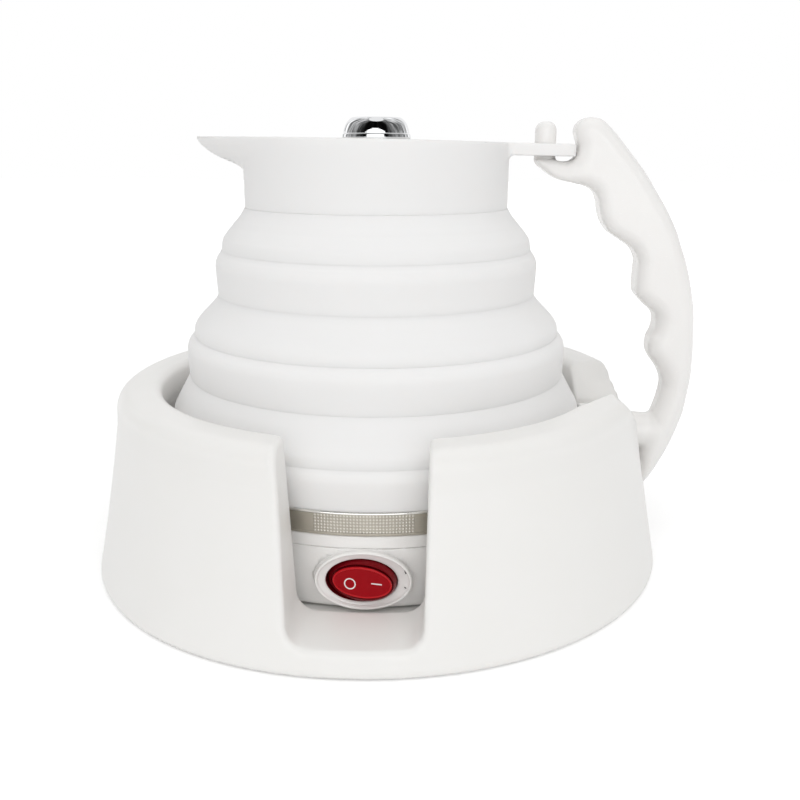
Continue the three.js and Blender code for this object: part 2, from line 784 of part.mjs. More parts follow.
function buildHeater(group) {
  piece(group, "heat_spreader", disc(spreaderRadius, spreaderBottomZ, spreaderTopZ, smallSteps), "aluminium");
  piece(group, "heating_element", heatingElement(), "steel");
  const thermostat = turned([
    [0, thermostatBottomZ],
    [thermostatRadius, thermostatBottomZ],
    [thermostatRadius, thermostatBottomZ + thermostatBodyHeight],
    [thermostatCapRadius, thermostatBottomZ + thermostatBodyHeight],
    [thermostatCapRadius, thermostatTopZ],
    [0, thermostatTopZ],
  ], smallSteps);
  piece(group, "thermostat", thermostat, "black");

  const strapTopZ = thermostatBottomZ - gap;
  const half = strapLength / 2;
  const earTopZ = spreaderBottomZ - gap;
  const sag = new THREE.Shape();
  const inside = thermostatRadius + gap;
  const outline = [
    [-half, earTopZ], [-half, earTopZ - strapWall], [-inside - strapWall, earTopZ - strapWall],
    [-inside - strapWall, strapTopZ - strapWall], [inside + strapWall, strapTopZ - strapWall],
    [inside + strapWall, earTopZ - strapWall], [half, earTopZ - strapWall], [half, earTopZ],
    [inside, earTopZ], [inside, strapTopZ], [-inside, strapTopZ], [-inside, earTopZ],
  ];
  sag.setFromPoints(outline.map(([x, y]) => new THREE.Vector2(x, y)));
  const strapBar = pushedOut(sag, -90, -strapWidth / 2, strapWidth / 2);
  const screwX = (half + inside + strapWall) / 2;
  const hole = disc(strapScrewRadius + gap, earTopZ - strapWall - overrun, earTopZ + overrun, tinySteps);
  const strap = without(strapBar, at(hole, -screwX, 0, 0), at(hole, screwX, 0, 0));
  piece(group, "thermostat_strap", strap, "steel");
  const headTop = earTopZ - strapWall - gap;
  const screw = turned([
    [0, headTop - strapScrewHeadHeight],
    [strapScrewHeadRadius, headTop - strapScrewHeadHeight],
    [strapScrewHeadRadius, headTop],
    [strapScrewRadius, headTop],
    [strapScrewRadius, earTopZ],
    [0, earTopZ],
  ], tinySteps);
  [-screwX, screwX].forEach((x, n) => {
    piece(group, `strap_screw_${n + 1}`, screw, "steel").position.set(x, 0, 0);
  });

  const fuse = disc(fuseRadius, -fuseLength / 2, fuseLength / 2, tinySteps);
  const fuseMesh = piece(group, "thermal_fuse", fuse, "nylon");
  fuseMesh.rotation.set(0, Math.PI / 2, 0);
  fuseMesh.position.set(0, fuseOffset, spreaderBottomZ - gap - fuseRadius);
}

// Power inlet
const inletFaceY = faceRadius + gap;

function inletShape(grow) {
  return stadiumShape(inletWidth + 2 * grow, inletTall + 2 * grow, inletHeight);
}

function buildInlet(group) {
  const faceY = inletFaceY + inletFlange;
  const flange = pushedOut(inletShape(inletFlangeRim), 90, inletFaceY, faceY);
  const body = pushedOut(inletShape(0), 90, faceY - inletDepth, faceY);
  const pocket = pushedOut(inletShape(-inletWall), 90, faceY - inletPocketDepth, faceY + overrun);
  const back = faceY - inletDepth - inletPinTail;
  const tip = faceY - inletFlange;
  const places = [-inletPinPitch / 2, inletPinPitch / 2];
  const holes = places.map((x) => at(lying(inletPinRadius + gap, back, faceY), x, 0, inletHeight));
  piece(group, "power_inlet", without(joined(flange, body), pocket, ...holes), "black");
  places.forEach((x, n) => {
    const pin = piece(group, `inlet_pin_${n + 1}`, lying(inletPinRadius, back, tip), "brass");
    pin.position.set(x, 0, inletHeight);
  });
}

// A round bar lying along Y
function lying(radius, from, to) {
  return turned([[0, from], [radius, from], [radius, to], [0, to]], tinySteps).rotate([-90, 0, 0]);
}

// Switch
const bezelBackY = faceRadius + gap;
const bezelFrontY = bezelBackY + bezelThickness;
const rockerPivotY = bezelFrontY - rockerSink;

function switchBodyWidth() {
  return rockerWidth + 2 * rockerClearance + 2 * switchBodyWall;
}

function switchBodyTall() {
  return rockerTall + 2 * rockerClearance + 2 * switchBodyWall;
}

function buildSwitch(group, rockerGroup) {
  const bodyBackY = bezelFrontY - switchBodyDepth;
  const forward = (width, tall, near, far) => {
    return pushedOut(ellipseShape(width, tall, switchHeight), -90, near, far, ovalSteps);
  };
  const lip = forward(bezelWidth - 2 * bezelRound, bezelTall - 2 * bezelRound, bezelBackY, bezelFrontY);
  const flange = forward(bezelWidth, bezelTall, bezelBackY, bezelFrontY - bezelRound);
  const body = forward(switchBodyWidth(), switchBodyTall(), bodyBackY, bezelFrontY);
  const swing = rockerWidth / 2 * Math.sin(radians(rockerAngle));
  const wellFloorY = rockerPivotY - rockerDepth - swing - rockerClearance;
  const wellWidth = rockerWidth + 2 * rockerClearance;
  const wellTall = rockerTall + 2 * rockerClearance;
  const well = forward(wellWidth, wellTall, wellFloorY, bezelFrontY + overrun);
  piece(group, "switch_housing", without(joined(flange, lip, body), well), "shell");

  const sphere = new THREE.SphereGeometry(rockerWidth / 2, smallSteps, ovalSteps);
  const ball = solidFrom(sphere.rotateX(Math.PI / 2));
  const face = rectangleShape(-rockerWidth, -rockerWidth, rockerWidth, rockerWidth);
  const slab = pushedOut(face, -90, -rockerDepth, rockerProud);
  const rocker = ball.scale([1, 1, rockerTall / rockerWidth]).intersect(slab);
  const mesh = piece(rockerGroup, "switch_rocker", rocker, "red");
  mesh.rotation.set(0, 0, radians(-rockerAngle));
  mesh.position.set(0, -rockerPivotY, switchHeight);

  [-tagPitch / 2, tagPitch / 2].forEach((x, n) => {
    const low = switchHeight - tagWidth / 2;
    const blade = rectangleShape(x - tagThickness / 2, low, x + tagThickness / 2, low + tagWidth);
    const tag = pushedOut(blade, -90, bodyBackY - gap - tagLength, bodyBackY - gap);
    piece(group, `switch_tag_${n + 1}`, tag, "brass");
  });
}

// Leads that run round the inside of the base, square to the tags and pins at their ends
function roundLead([from, to]) {
  return Array.from({ length: leadPointCount }, (_, n) => {
    const [x, y] = roundPlace(leadCircle, lerp(from, to, n / (leadPointCount - 1)));
    return new THREE.Vector3(x, y, leadHeight);
  });
}

function squareEnd(x, y, z, angle) {
  const [dx, dy] = roundPlace(leadBend, angle);
  return [new THREE.Vector3(x, y, z), new THREE.Vector3(x + dx, y + dy, z)];
}

function buildLeads(group) {
  const tagInnerY = switchBodyDepth + tagLength + 2 * gap - bezelFrontY;
  const pinBackY = inletFaceY + inletFlange - inletDepth - inletPinTail - gap;
  const pinX = inletPinPitch / 2;
  const tagX = tagPitch / 2;
  const [leftTail, rightTail] = elementEnds().map(({ side, angle, place: [x, y] }) => {
    const heading = angle - side * 90;
    const [dx, dy] = roundPlace(elementTailLength + gap, heading);
    return squareEnd(x + dx, y + dy, elementZ, heading);
  });
  const live = [
    ...squareEnd(-pinX, pinBackY, inletHeight, -90),
    ...roundLead(liveLeadAngles),
    ...squareEnd(-tagX, tagInnerY, switchHeight, 90).reverse(),
  ];
  const neutral = [
    ...squareEnd(pinX, pinBackY, inletHeight, -90),
    ...roundLead(neutralLeadAngles),
    ...rightTail.reverse(),
  ];
  const heater = [
    ...squareEnd(tagX, tagInnerY, switchHeight, 90),
    ...leftTail.reverse(),
  ];
  for (const [name, route] of [["lead_live", live], ["lead_neutral", neutral], ["lead_heater", heater]]) {
    piece(group, name, bar(new THREE.CatmullRomCurve3(route), leadRadius, leadSteps), "lead");
  }
}

// Bellows
function outlineFrom(shares, bottomZ, height, radius, inset) {
  return shares.map(([rise, draw]) => [radius - inset * draw, bottomZ + height * rise]);
}

// A thin ring from its outer outline, with every other point of it on the inner side
function skinRing(outline, wall) {
  const last = outline.length - 1;
  const kept = outline.filter((_, n) => n === 0 || n === last || n % 2 === 0);
  const inner = kept.map(([radius, height]) => [radius - wall, height]).reverse();
  return turnedRing([...outline, ...inner]);
}

function bandBottomRadius(radius) {
  return radius - bandTopInset * bandOutlineShares[0][1];
}

function fold(bottomZ, height, lowerRadius, upperRadius) {
  const inset = lowerRadius - upperRadius;
  return skinRing(outlineFrom(foldOutlineShares, bottomZ, height, lowerRadius, inset), foldWall);
}

function band(bottomZ, height, radius) {
  return skinRing(outlineFrom(bandOutlineShares, bottomZ, height, radius, bandTopInset), bandWall);
}

function bellowsFoot() {
  return turnedRing([
    [skirtInnerRadius, panBottomZ],
    [skirtOuterRadius, panBottomZ],
    [skirtOuterRadius, footBandBottomZ],
    [footBandRadius - footBandGroove, footBandBottomZ],
    [footBandRadius, footBandBottomZ + footBandHeight / 2],
    [footBandRadius - footBandGroove, footBandTopZ],
    [footBandRadius - footBandGroove - bandWall, footBandTopZ],
    [skirtInnerRadius, panBottomZ + panRise],
  ]);
}

// A ring round Z that comes to a point at -X, at the given distance from the axis
function lipRing(radius, tip, height) {
  const spread = Math.acos(Math.min(1, radius / tip));
  return Array.from({ length: ringSteps }, (_, n) => {
    const angle = 2 * Math.PI * n / ringSteps;
    const off = Math.abs(angle - Math.PI);
    const reach = off < spread ? radius / Math.cos(spread - off) : radius;
    return [reach * Math.cos(angle), reach * Math.sin(angle), height];
  });
}

function neckSolid() {
  const lipBottomZ = neckTopZ - lipDepth;
  const outer = [lipRing(neckRadius, neckRadius, neckBottomZ)];
  const inner = [lipRing(neckRadius - neckWall, neckRadius - neckWall, neckBottomZ - overrun)];
  lipOutlineShares.forEach(([rise, draw], n) => {
    const height = lipBottomZ + lipDepth * rise;
    const tip = neckRadius + lipReach * draw;
    outer.push(lipRing(neckRadius, tip, height));
    if (n % 2 === 0) inner.push(lipRing(neckRadius - neckWall, tip - neckWall, height + neckWall / 2));
  });
  const last = inner[inner.length - 1].map(([x, y]) => [x, y, neckTopZ + overrun]);
  return without(lofted(outer), lofted([...inner, last]));
}

function rimTab() {
  const half = tabWidth / 2;
  const tip = pegX + tabBeyondPeg;
  const corner = half / 2;
  const shape = new THREE.Shape();
  shape.moveTo(0, -half);
  shape.lineTo(tip - corner, -half);
  shape.quadraticCurveTo(tip, -half, tip, -half + corner);
  shape.lineTo(tip, half - corner);
  shape.quadraticCurveTo(tip, half, tip - corner, half);
  shape.lineTo(0, half);
  shape.closePath();
  const top = neckTopZ - tabDrop;
  const plate = raised(shape, top - tabThickness, top);
  const cutBottom = top - tabThickness - overrun;
  const eye = disc(pegRadius + tabEyeClearance, cutBottom, top + overrun, smallSteps);
  const neckRoom = disc(neckRadius + gap, cutBottom, top + overrun);
  return without(plate, at(eye, pegX, 0, 0), neckRoom);
}

function buildBellows(foot, lower, upper, top) {
  piece(foot, "bellows_foot", bellowsFoot(), "silicone");
  const middleFoot = lowerBandRadius - bandTopInset;
  const upperFoot = upperBandRadius - bandTopInset;
  const lowerHead = bandBottomRadius(lowerBandRadius);
  const middleHead = bandBottomRadius(upperBandRadius);
  const lowerFold = fold(lowerFoldBottomZ, lowerFoldHeight, footBandRadius, lowerHead);
  const middleFold = fold(middleFoldBottomZ, middleFoldHeight, middleFoot, middleHead);
  piece(foot, "lower_fold", lowerFold, "silicone");
  piece(lower, "lower_band", band(lowerBandBottomZ, lowerBandHeight, lowerBandRadius), "silicone");
  piece(lower, "middle_fold", middleFold, "silicone");
  piece(upper, "upper_band", band(upperBandBottomZ, upperBandHeight, upperBandRadius), "silicone");
  piece(upper, "upper_fold", fold(upperFoldBottomZ, upperFoldHeight, upperFoot, neckRadius), "silicone");
  piece(top, "neck", neckSolid(), "silicone");
  piece(top, "rim_tab", rimTab(), "silicone");
}

// Lid
function buildLid(group) {
  const inner = neckRadius - neckWall;
  const topZ = neckTopZ - lidInset;
  const plateRadius = inner - gap;
  const plateBottomZ = topZ - lidPlate;
  const skirtRadius = inner - lidSkirtInset;
  const skirtBottomZ = topZ - lidSkirtDepth;
  const sealZ = plateBottomZ - lidSealDepth / 2;
  const cap = turned([
    [0, plateBottomZ],
    [skirtRadius - lidSkirtWall, plateBottomZ],
    [skirtRadius - lidSkirtWall, skirtBottomZ],
    [skirtRadius, skirtBottomZ],
    [skirtRadius, plateBottomZ],
    [plateRadius, plateBottomZ],
    [plateRadius, topZ - lidInset],
    [plateRadius - lidInset, topZ],
    [0, topZ],
  ]);
  const hole = disc(knobScrewRadius + gap, plateBottomZ - overrun, topZ + overrun, tinySteps);
  piece(group, "lid_cap", cap.subtract(hole), "shell");
  const sealCentre = (skirtRadius + inner) / 2;
  const seal = turnedRing(arcPoints(sealCentre, sealZ, lidSealRadius, 0, 360, lidSealSides).slice(1));
  piece(group, "lid_seal", seal, "silicone");

  const knobBottomZ = topZ + gap;
  const knobTopZ = knobBottomZ + knobHeight;
  const waist = knobRadius - knobWaistInset;
  const knob = turned([
    [0, knobBottomZ],
    [knobRadius - knobFlange / 2, knobBottomZ],
    [knobRadius, knobBottomZ + knobFlange / 2],
    [knobRadius - knobFlange / 4, knobBottomZ + knobFlange],
    [waist, knobBottomZ + knobFlange],
    ...arcPoints(knobTopRadius - knobRound, knobTopZ - knobRound, knobRound, 0, 90),
    [0, knobTopZ],
  ], smallSteps);
  const threadTopZ = knobBottomZ + knobScrewLength + gap;
  const thread = disc(knobScrewRadius + gap, knobBottomZ - overrun, threadTopZ, tinySteps);
  piece(group, "lid_knob", knob.subtract(thread), "chrome");
  const washerTopZ = plateBottomZ - gap;
  const washerBottomZ = washerTopZ - knobWasherThickness;
  const washer = ring(knobScrewRadius + gap, knobWasherRadius, washerBottomZ, washerTopZ, smallSteps);
  piece(group, "knob_washer", washer, "steel");
  const headTopZ = washerBottomZ - gap;
  const screw = turned([
    [0, headTopZ - knobScrewHeadHeight],
    [knobScrewHeadRadius, headTopZ - knobScrewHeadHeight],
    [knobScrewHeadRadius, headTopZ],
    [knobScrewRadius, headTopZ],
    [knobScrewRadius, knobBottomZ + knobScrewLength],
    [0, knobBottomZ + knobScrewLength],
  ], tinySteps);
  piece(group, "knob_screw", screw, "steel");
}

// Handle
const tabUndersideZ = neckTopZ - tabDrop - tabThickness;
const washerOuterX = towerFaceX + gap + frictionWasherThickness;
const stubStartX = washerOuterX + gap;
const handleTopZ = neckTopZ + handleHeadRise;

// A point of the side view, from its shares of the grip's reach and of its rise above the pivot
function gripPoint([reachShare, riseShare]) {
  const x = lerp(gripStartX, handleReach, reachShare);
  return new THREE.Vector3(x, 0, pivotZ + riseShare * (handleTopZ - pivotZ));
}

// A squarish oval between two points of the side view
function superRing(inner, outer, width) {
  const middle = inner.clone().add(outer).divideScalar(2);
  const half = outer.clone().sub(inner).divideScalar(2);
  return Array.from({ length: handleRingSteps }, (_, n) => {
    const angle = Math.PI * (2 * n + 1) / handleRingSteps;
    const across = Math.sign(Math.cos(angle)) * Math.sqrt(Math.abs(Math.cos(angle)));
    const along = Math.sin(angle);
    return [middle.x + half.x * along, across * width / 2, middle.z + half.z * along];
  });
}

// The grip between its scalloped inner line and its outer line, wide in the middle and thin at the tail
function gripSolid() {
  const innerCurve = new THREE.CatmullRomCurve3(gripShares.map((row) => gripPoint(row.slice(0, 2))));
  const outerCurve = new THREE.CatmullRomCurve3(gripShares.map((row) => gripPoint(row.slice(2, 4))));
  const widths = new THREE.CatmullRomCurve3(gripShares.map((row) => new THREE.Vector3(row[4] * handleWidth)));
  return lofted(Array.from({ length: handleSteps + 1 }, (_, n) => {
    const along = n / handleSteps;
    return superRing(innerCurve.getPoint(along), outerCurve.getPoint(along), widths.getPoint(along).x);
  }));
}

// The head above the claw: an oval post with a domed top
function headSolid() {
  const base = gripPoint(headBaseShares);
  const top = gripPoint(headTopShares);
  const radius = handleTopZ - top.z;
  const rows = [[base, 0], ...headDomeAngles.map((angle) => [top, angle])];
  return lofted(rows.map(([centre, angle]) => {
    const shrink = Math.cos(radians(angle));
    const middle = centre.clone().setZ(centre.z + radius * Math.sin(radians(angle)));
    const half = new THREE.Vector3(radius * shrink, 0, 0);
    return superRing(middle.clone().sub(half), middle.clone().add(half), handleHeadWidth * shrink);
  }));
}

// The claw that reaches under the rim tab and carries the peg
function clawSolid(clawZ) {
  const root = gripPoint(clawRootShares);
  const [reachShare, dropShare, growShare] = clawBendShares;
  const bendX = lerp(pegX, root.x, reachShare);
  const route = [
    [pegX, clawZ, clawRadius],
    [bendX, clawZ - clawRadius * dropShare, lerp(clawRadius, clawRootRadius, growShare)],
    [root.x, root.z, clawRootRadius],
  ];
  const tilt = radians(clawAngle);
  return lofted(route.map(([x, z, radius]) => Array.from({ length: tinySteps }, (_, n) => {
    const angle = 2 * Math.PI * n / tinySteps;
    const lift = radius * Math.sin(angle);
    return [x - lift * Math.cos(tilt), -radius * Math.cos(angle), z + lift * Math.sin(tilt)];
  })));
}

function buildHandle(group) {
  const pegTopZ = neckTopZ + pegRise;
  const clawZ = tabUndersideZ - gap - clawRadius;
  const peg = turned([
    [0, clawZ],
    [pegRadius, clawZ],
    [pegRadius, pegTopZ - pegRadius],
    ...arcPoints(0, pegTopZ - pegRadius, pegRadius, 0, 90, 3).slice(1),
  ], smallSteps);
  const tip = solidFrom(new THREE.SphereGeometry(clawRadius, tinySteps, tinySteps / 2).rotateX(Math.PI / 2));
  const stub = axle(stubStartX, lerp(stubStartX, handleReach, stubReachShare), stubRadius, stubOuterRadius);
  const spigotEnd = towerInnerRadius + gap;
  const spigot = axle(spigotEnd, stubStartX + overrun, spigotRadius);
  const clipStart = towerInnerRadius + clipInset;
  const groove = without(
    axle(clipStart - gap / 2, clipStart + clipThickness + gap / 2, spigotRadius + overrun),
    axle(clipStart - overrun, clipStart + clipThickness + overrun, spigotRadius - spigotGroove),
  );
  const claw = joined(clawSolid(clawZ), at(tip, pegX, 0, clawZ), at(peg, pegX, 0, 0));
  const handle = joined(gripSolid(), headSolid(), claw, stub, spigot);
  piece(group, "handle", without(handle, groove), "shell");
  const washer = without(
    axle(towerFaceX + gap, washerOuterX, stubRadius),
    axle(towerFaceX, washerOuterX + overrun, spigotRadius + gap),
  );
  piece(group, "friction_washer", washer, "nylon");
  const mouth = rectangleShape(-clipMouth / 2, pivotZ - 2 * clipRadius, clipMouth / 2, pivotZ);
  const clip = without(
    axle(clipStart, clipStart + clipThickness, clipRadius),
    axle(clipStart - overrun, clipStart + clipThickness + overrun, spigotRadius - spigotGroove + gap / 2),
    pushedOut(mouth, 0, 0, handleReach),
  );
  piece(group, "retaining_clip", clip, "steel");
}

// Whole object, with each moving part in the group that carries it
const cradle = new THREE.Group();
const kettleBase = new THREE.Group();
const rockerGroup = new THREE.Group();
const handleGroup = new THREE.Group();
const lowerStage = new THREE.Group();
const upperStage = new THREE.Group();
const neckStage = new THREE.Group();
const lid = new THREE.Group();
cradle.add(kettleBase);
kettleBase.add(rockerGroup, handleGroup, lowerStage);
lowerStage.add(upperStage);
upperStage.add(neckStage);
neckStage.add(lid);

buildCradle(cradle);
buildHousing(kettleBase);
buildBaseCover(kettleBase);
buildPan(kettleBase);
buildHeater(kettleBase);
buildInlet(kettleBase);
buildSwitch(kettleBase, rockerGroup);
buildLeads(kettleBase);
buildBellows(kettleBase, lowerStage, upperStage, neckStage);
buildLid(lid);
buildHandle(handleGroup);

export default cradle;
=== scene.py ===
"""A folding travel kettle in its ring cradle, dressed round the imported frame.

Sizes are in millimetres until a mesh is made, with the origin on the table under the cradle,
Z up, the switch towards -Y, the pouring lip towards -X and the handle towards +X.
"""

import json
import logging
import math
from dataclasses import dataclass
from enum import Enum
from typing import Callable

import bmesh
import bpy
import numpy as np
from bpy.types import Material, Node, NodeSocket, NodeTree, Object, World
from mathutils import Matrix, Vector

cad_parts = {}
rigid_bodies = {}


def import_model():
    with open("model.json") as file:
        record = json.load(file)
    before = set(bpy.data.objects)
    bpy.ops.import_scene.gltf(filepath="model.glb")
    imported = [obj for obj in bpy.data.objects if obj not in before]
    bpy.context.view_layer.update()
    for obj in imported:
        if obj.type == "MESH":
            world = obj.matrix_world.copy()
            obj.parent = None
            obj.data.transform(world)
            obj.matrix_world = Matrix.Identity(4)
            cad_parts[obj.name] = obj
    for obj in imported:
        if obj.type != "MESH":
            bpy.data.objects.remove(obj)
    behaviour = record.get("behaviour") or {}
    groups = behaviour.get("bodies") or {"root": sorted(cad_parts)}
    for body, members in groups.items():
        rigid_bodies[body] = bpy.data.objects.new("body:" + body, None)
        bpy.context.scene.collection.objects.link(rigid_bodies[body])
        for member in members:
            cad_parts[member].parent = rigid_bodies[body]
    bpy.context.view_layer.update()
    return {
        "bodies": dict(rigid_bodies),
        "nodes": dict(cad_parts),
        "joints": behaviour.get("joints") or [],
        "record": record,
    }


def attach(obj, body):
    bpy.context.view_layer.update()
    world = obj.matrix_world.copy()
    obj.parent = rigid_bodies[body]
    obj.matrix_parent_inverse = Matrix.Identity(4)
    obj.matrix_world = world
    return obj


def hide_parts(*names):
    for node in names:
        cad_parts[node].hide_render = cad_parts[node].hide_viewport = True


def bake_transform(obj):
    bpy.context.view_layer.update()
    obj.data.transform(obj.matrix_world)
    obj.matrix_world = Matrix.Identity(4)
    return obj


LOG = logging.getLogger("kettle")
MM = 0.001
TINY = 1e-9
QUARTERS = (1, 2, 3, 4)
Grid = np.ndarray
# A solid as a distance: takes places across, in depth and up, and gives how far each is outside
Field = Callable[[Grid, Grid, Grid], Grid]
Pair = tuple[float, float]
Triple = tuple[float, float, float]
Points = list[Pair]


class Body(Enum):
    """The moving bodies of the kettle."""

    CRADLE = "cradle"
    BASE = "kettle_base"
    ROCKER = "rocker"
    HANDLE = "handle_arm"
    LOWER = "lower_stage"
    UPPER = "upper_stage"
    NECK = "neck_stage"
    LID = "lid"


class Slot(Enum):
    """The record's material slots."""

    SHELL = "shell"
    SILICONE = "silicone"
    STEEL = "steel"
    CHROME = "chrome"
    BRASS = "brass"
    RED = "red"
    BLACK = "black"


def linear(colour: str) -> tuple[float, float, float, float]:
    """Turns an sRGB hex colour into linear red, green, blue and alpha.

    Args:
        colour: six hex digits after a hash sign.

    Returns:
        The linear colour, with alpha 1.
    """
    parts = [int(colour[n:n + 2], 16) / 255 for n in (1, 3, 5)]
    flat = [p / 12.92 if p <= 0.04045 else ((p + 0.055) / 1.055) ** 2.4 for p in parts]
    return (*flat, 1.0)


def add_node(tree: NodeTree, kind: str, settings: dict | None = None,
             links: dict | None = None) -> Node:
    """Adds a node to a tree.

    Args:
        tree: the tree that gets the node.
        kind: the node's type name.
        settings: the node's own properties.
        links: for each input, by name or number, a value or the socket that feeds it.

    Returns:
        The new node.
    """
    node = tree.nodes.new(kind)
    for name, value in (settings or {}).items():
        setattr(node, name, value)
    for name, value in (links or {}).items():
        if isinstance(value, NodeSocket):
            tree.links.new(value, node.inputs[name])
        else:
            node.inputs[name].default_value = value
    return node


def cleared_tree(owner: Material | World) -> NodeTree:
    """Gives a material or a world an empty node tree.

    Args:
        owner: the material or world.

    Returns:
        Its tree, without nodes.
    """
    owner.use_nodes = True
    owner.node_tree.nodes.clear()
    return owner.node_tree


# Meshes ---------------------------------------------------------------------------------------

# How near two points, in metres, are made one
MERGE_REACH = 1e-7
# The angle in degrees past which the edge of a cut is hard
CUT_SHARP = 30.0
# The most of a side, as a share, that the round of one corner takes
CORNER_SHARE = 0.49


def mesh_object(name: str, points: Grid, faces: list) -> Object:
    """Makes a smooth mesh object from points in millimetres.

    Args:
        name: the piece's name.
        points: the corners, in millimetres.
        faces: the corner numbers of each face.

    Returns:
        The new object, at the origin.
    """
    mesh = bpy.data.meshes.new(name)
    mesh.from_pydata((np.asarray(points, float) * MM).tolist(), [], faces)
    mesh.shade_smooth()
    piece = bpy.data.objects.new(name, mesh)
    bpy.context.scene.collection.objects.link(piece)
    return piece


def outwards(piece: Object, sharp: float = 38.0) -> Object:
    """Turns a closed piece's faces outwards and marks its hard edges.

    Args:
        piece: the piece, a closed mesh.
        sharp: the angle in degrees past which an edge is hard.

    Returns:
        The same piece.
    """
    work = bmesh.new()
    work.from_mesh(piece.data)
    bmesh.ops.remove_doubles(work, verts=work.verts, dist=MERGE_REACH)
    bmesh.ops.recalc_face_normals(work, faces=work.faces)
    work.to_mesh(piece.data)
    work.free()
    piece.data.shade_smooth()
    piece.data.set_sharp_from_angle(angle=math.radians(sharp))
    return piece


def rounded(corners: list[tuple], steps: int = 5, hold: float = 0.12) -> Points:
    """Rounds the corners of a closed outline.

    Args:
        corners: for each corner its two coordinates and its radius.
        steps: the pieces of each arc.
        hold: how far past the arc, as a share of its radius, a point holds the flat side.

    Returns:
        The points of the rounded outline.
    """
    result: Points = []
    count = len(corners)
    for n, (u, v, radius) in enumerate(corners):
        corner = np.array([u, v])
        before = np.array(corners[n - 1][:2]) - corner
        after = np.array(corners[(n + 1) % count][:2]) - corner
        long_before, long_after = np.linalg.norm(before), np.linalg.norm(after)
        if radius <= 0 or min(long_before, long_after) < TINY:
            result.append((u, v))
            continue
        before, after = before / long_before, after / long_after
        half = math.acos(float(np.clip(before @ after, -1, 1))) / 2
        reach = min(radius / max(math.tan(half), TINY), min(long_before, long_after) * CORNER_SHARE)
        radius = reach * math.tan(half)
        inward = before + after
        centre = corner + inward / np.linalg.norm(inward) * radius / math.sin(half)
        first, last = corner + before * reach, corner + after * reach
        start = math.atan2(*(first - centre)[::-1])
        sweep = (math.atan2(*(last - centre)[::-1]) - start + math.pi) % (2 * math.pi) - math.pi
        result.append(tuple(first + before * reach * hold))
        for step in range(steps + 1):
            angle = start + sweep * step / steps
            result.append((centre[0] + radius * math.cos(angle),
                           centre[1] + radius * math.sin(angle)))
        result.append(tuple(last + after * reach * hold))
    return result


def smooth_line(points: Points, each: int = 6, closed: bool = False) -> Points:
    """Draws a smooth curve through points.

    Args:
        points: the points that the curve passes.
        each: the steps between two of them.
        closed: whether the curve comes back to its start.

    Returns:
        The points of the curve.
    """
    source = np.array(points, float)
    count = len(source)
    spans = count if closed else count - 1
    result: Points = []
    for n in range(spans):
        around = [(n + k) % count if closed else min(max(n + k, 0), count - 1)
                  for k in (-1, 0, 1, 2)]
        a, b, c, d = source[around]
        for step in range(each):
            t = step / each
            point = 0.5 * (2 * b + (c - a) * t + (2 * a - 5 * b + 4 * c - d) * t ** 2
                           + (3 * b - a - 3 * c + d) * t ** 3)
            result.append((float(point[0]), float(point[1])))
    if not closed:
        result.append((float(source[-1][0]), float(source[-1][1])))
    return result


def round_angles(count: int) -> Grid:
    """The angles of so many even steps round a circle."""
    return np.arange(count) * 2 * math.pi / count


def turned(name: str, outline: Points, steps: int = 160) -> Object:
    """Turns a closed outline of radius and height round the upright axis.

    Args:
        name: the piece's name.
        outline: radius and height of each point. Points on the axis close the piece.
        steps: the facets of the round.

    Returns:
        The new piece.
    """
    angles = round_angles(steps)
    points: list = []
    starts: list = []
    for radius, height in outline:
        starts.append((len(points), radius < TINY))
        if radius < TINY:
            points.append((0.0, 0.0, height))
        else:
            points.extend(zip(radius * np.cos(angles), radius * np.sin(angles), [height] * steps))
    faces: list = []
    count = len(outline)
    for n in range(count):
        (low, low_pole), (high, high_pole) = starts[n], starts[(n + 1) % count]
        if low_pole and high_pole:
            continue
        for k in range(steps):
            after = (k + 1) % steps
            if low_pole:
                faces.append((low, high + after, high + k))
            elif high_pole:
                faces.append((low + k, low + after, high))
            else:
                faces.append((low + k, low + after, high + after, high + k))
    return outwards(mesh_object(name, np.array(points), faces))


def lofted(name: str, rings: list[Grid], closed: bool = False) -> Object:
    """Joins rings of equal count into a closed skin.

    Args:
        name: the piece's name.
        rings: the points of each ring.
        closed: whether the last ring joins the first. Otherwise both ends get a middle point.

    Returns:
        The new piece.
    """
    sides = len(rings[0])
    points = np.concatenate(rings)
    faces: list = []
    for n in range(len(rings) if closed else len(rings) - 1):
        low, high = n * sides, (n + 1) % len(rings) * sides
        for k in range(sides):
            after = (k + 1) % sides
            faces.append((low + k, low + after, high + after, high + k))
    if not closed:
        for start in (0, (len(rings) - 1) * sides):
            middle = len(points)
            points = np.concatenate([points, points[start:start + sides].mean(0, keepdims=True)])
            faces.extend((start + k, start + (k + 1) % sides, middle) for k in range(sides))
    return outwards(mesh_object(name, points, faces))


def oval_ring(half_width: float, half_tall: float, depth: float, height: float,
              sides: int = 96) -> Grid:
    """An upright ellipse across Y.

    Args:
        half_width: half its width along X.
        half_tall: half its height.
        depth: its place along Y.
        height: the height of its middle.
        sides: its points.

    Returns:
        The ring's points.
    """
    angles = round_angles(sides)
    across, up = half_width * np.cos(angles), half_tall * np.sin(angles)
    return np.stack([across, np.full(sides, depth), height + up], 1)


def stadium_ring(half_width: float, half_tall: float, depth: float, height: float,
                 sides: int = 48) -> Grid:
    """An upright flat-sided oval across Y, with round ends.

    Args:
        half_width: half its width along X.
        half_tall: half its height, and the radius of its ends.
        depth: its place along Y.
        height: the height of its middle.
        sides: its points.

    Returns:
        The ring's points.
    """
    half = sides // 2
    bend = np.linspace(-math.pi / 2, math.pi / 2, half)
    across = half_width - half_tall + half_tall * np.cos(bend)
    right = np.stack([across, np.full(half, depth), height + half_tall * np.sin(bend)], 1)
    left = right * [-1, 1, 1]
    return np.concatenate([right, left[::-1]])


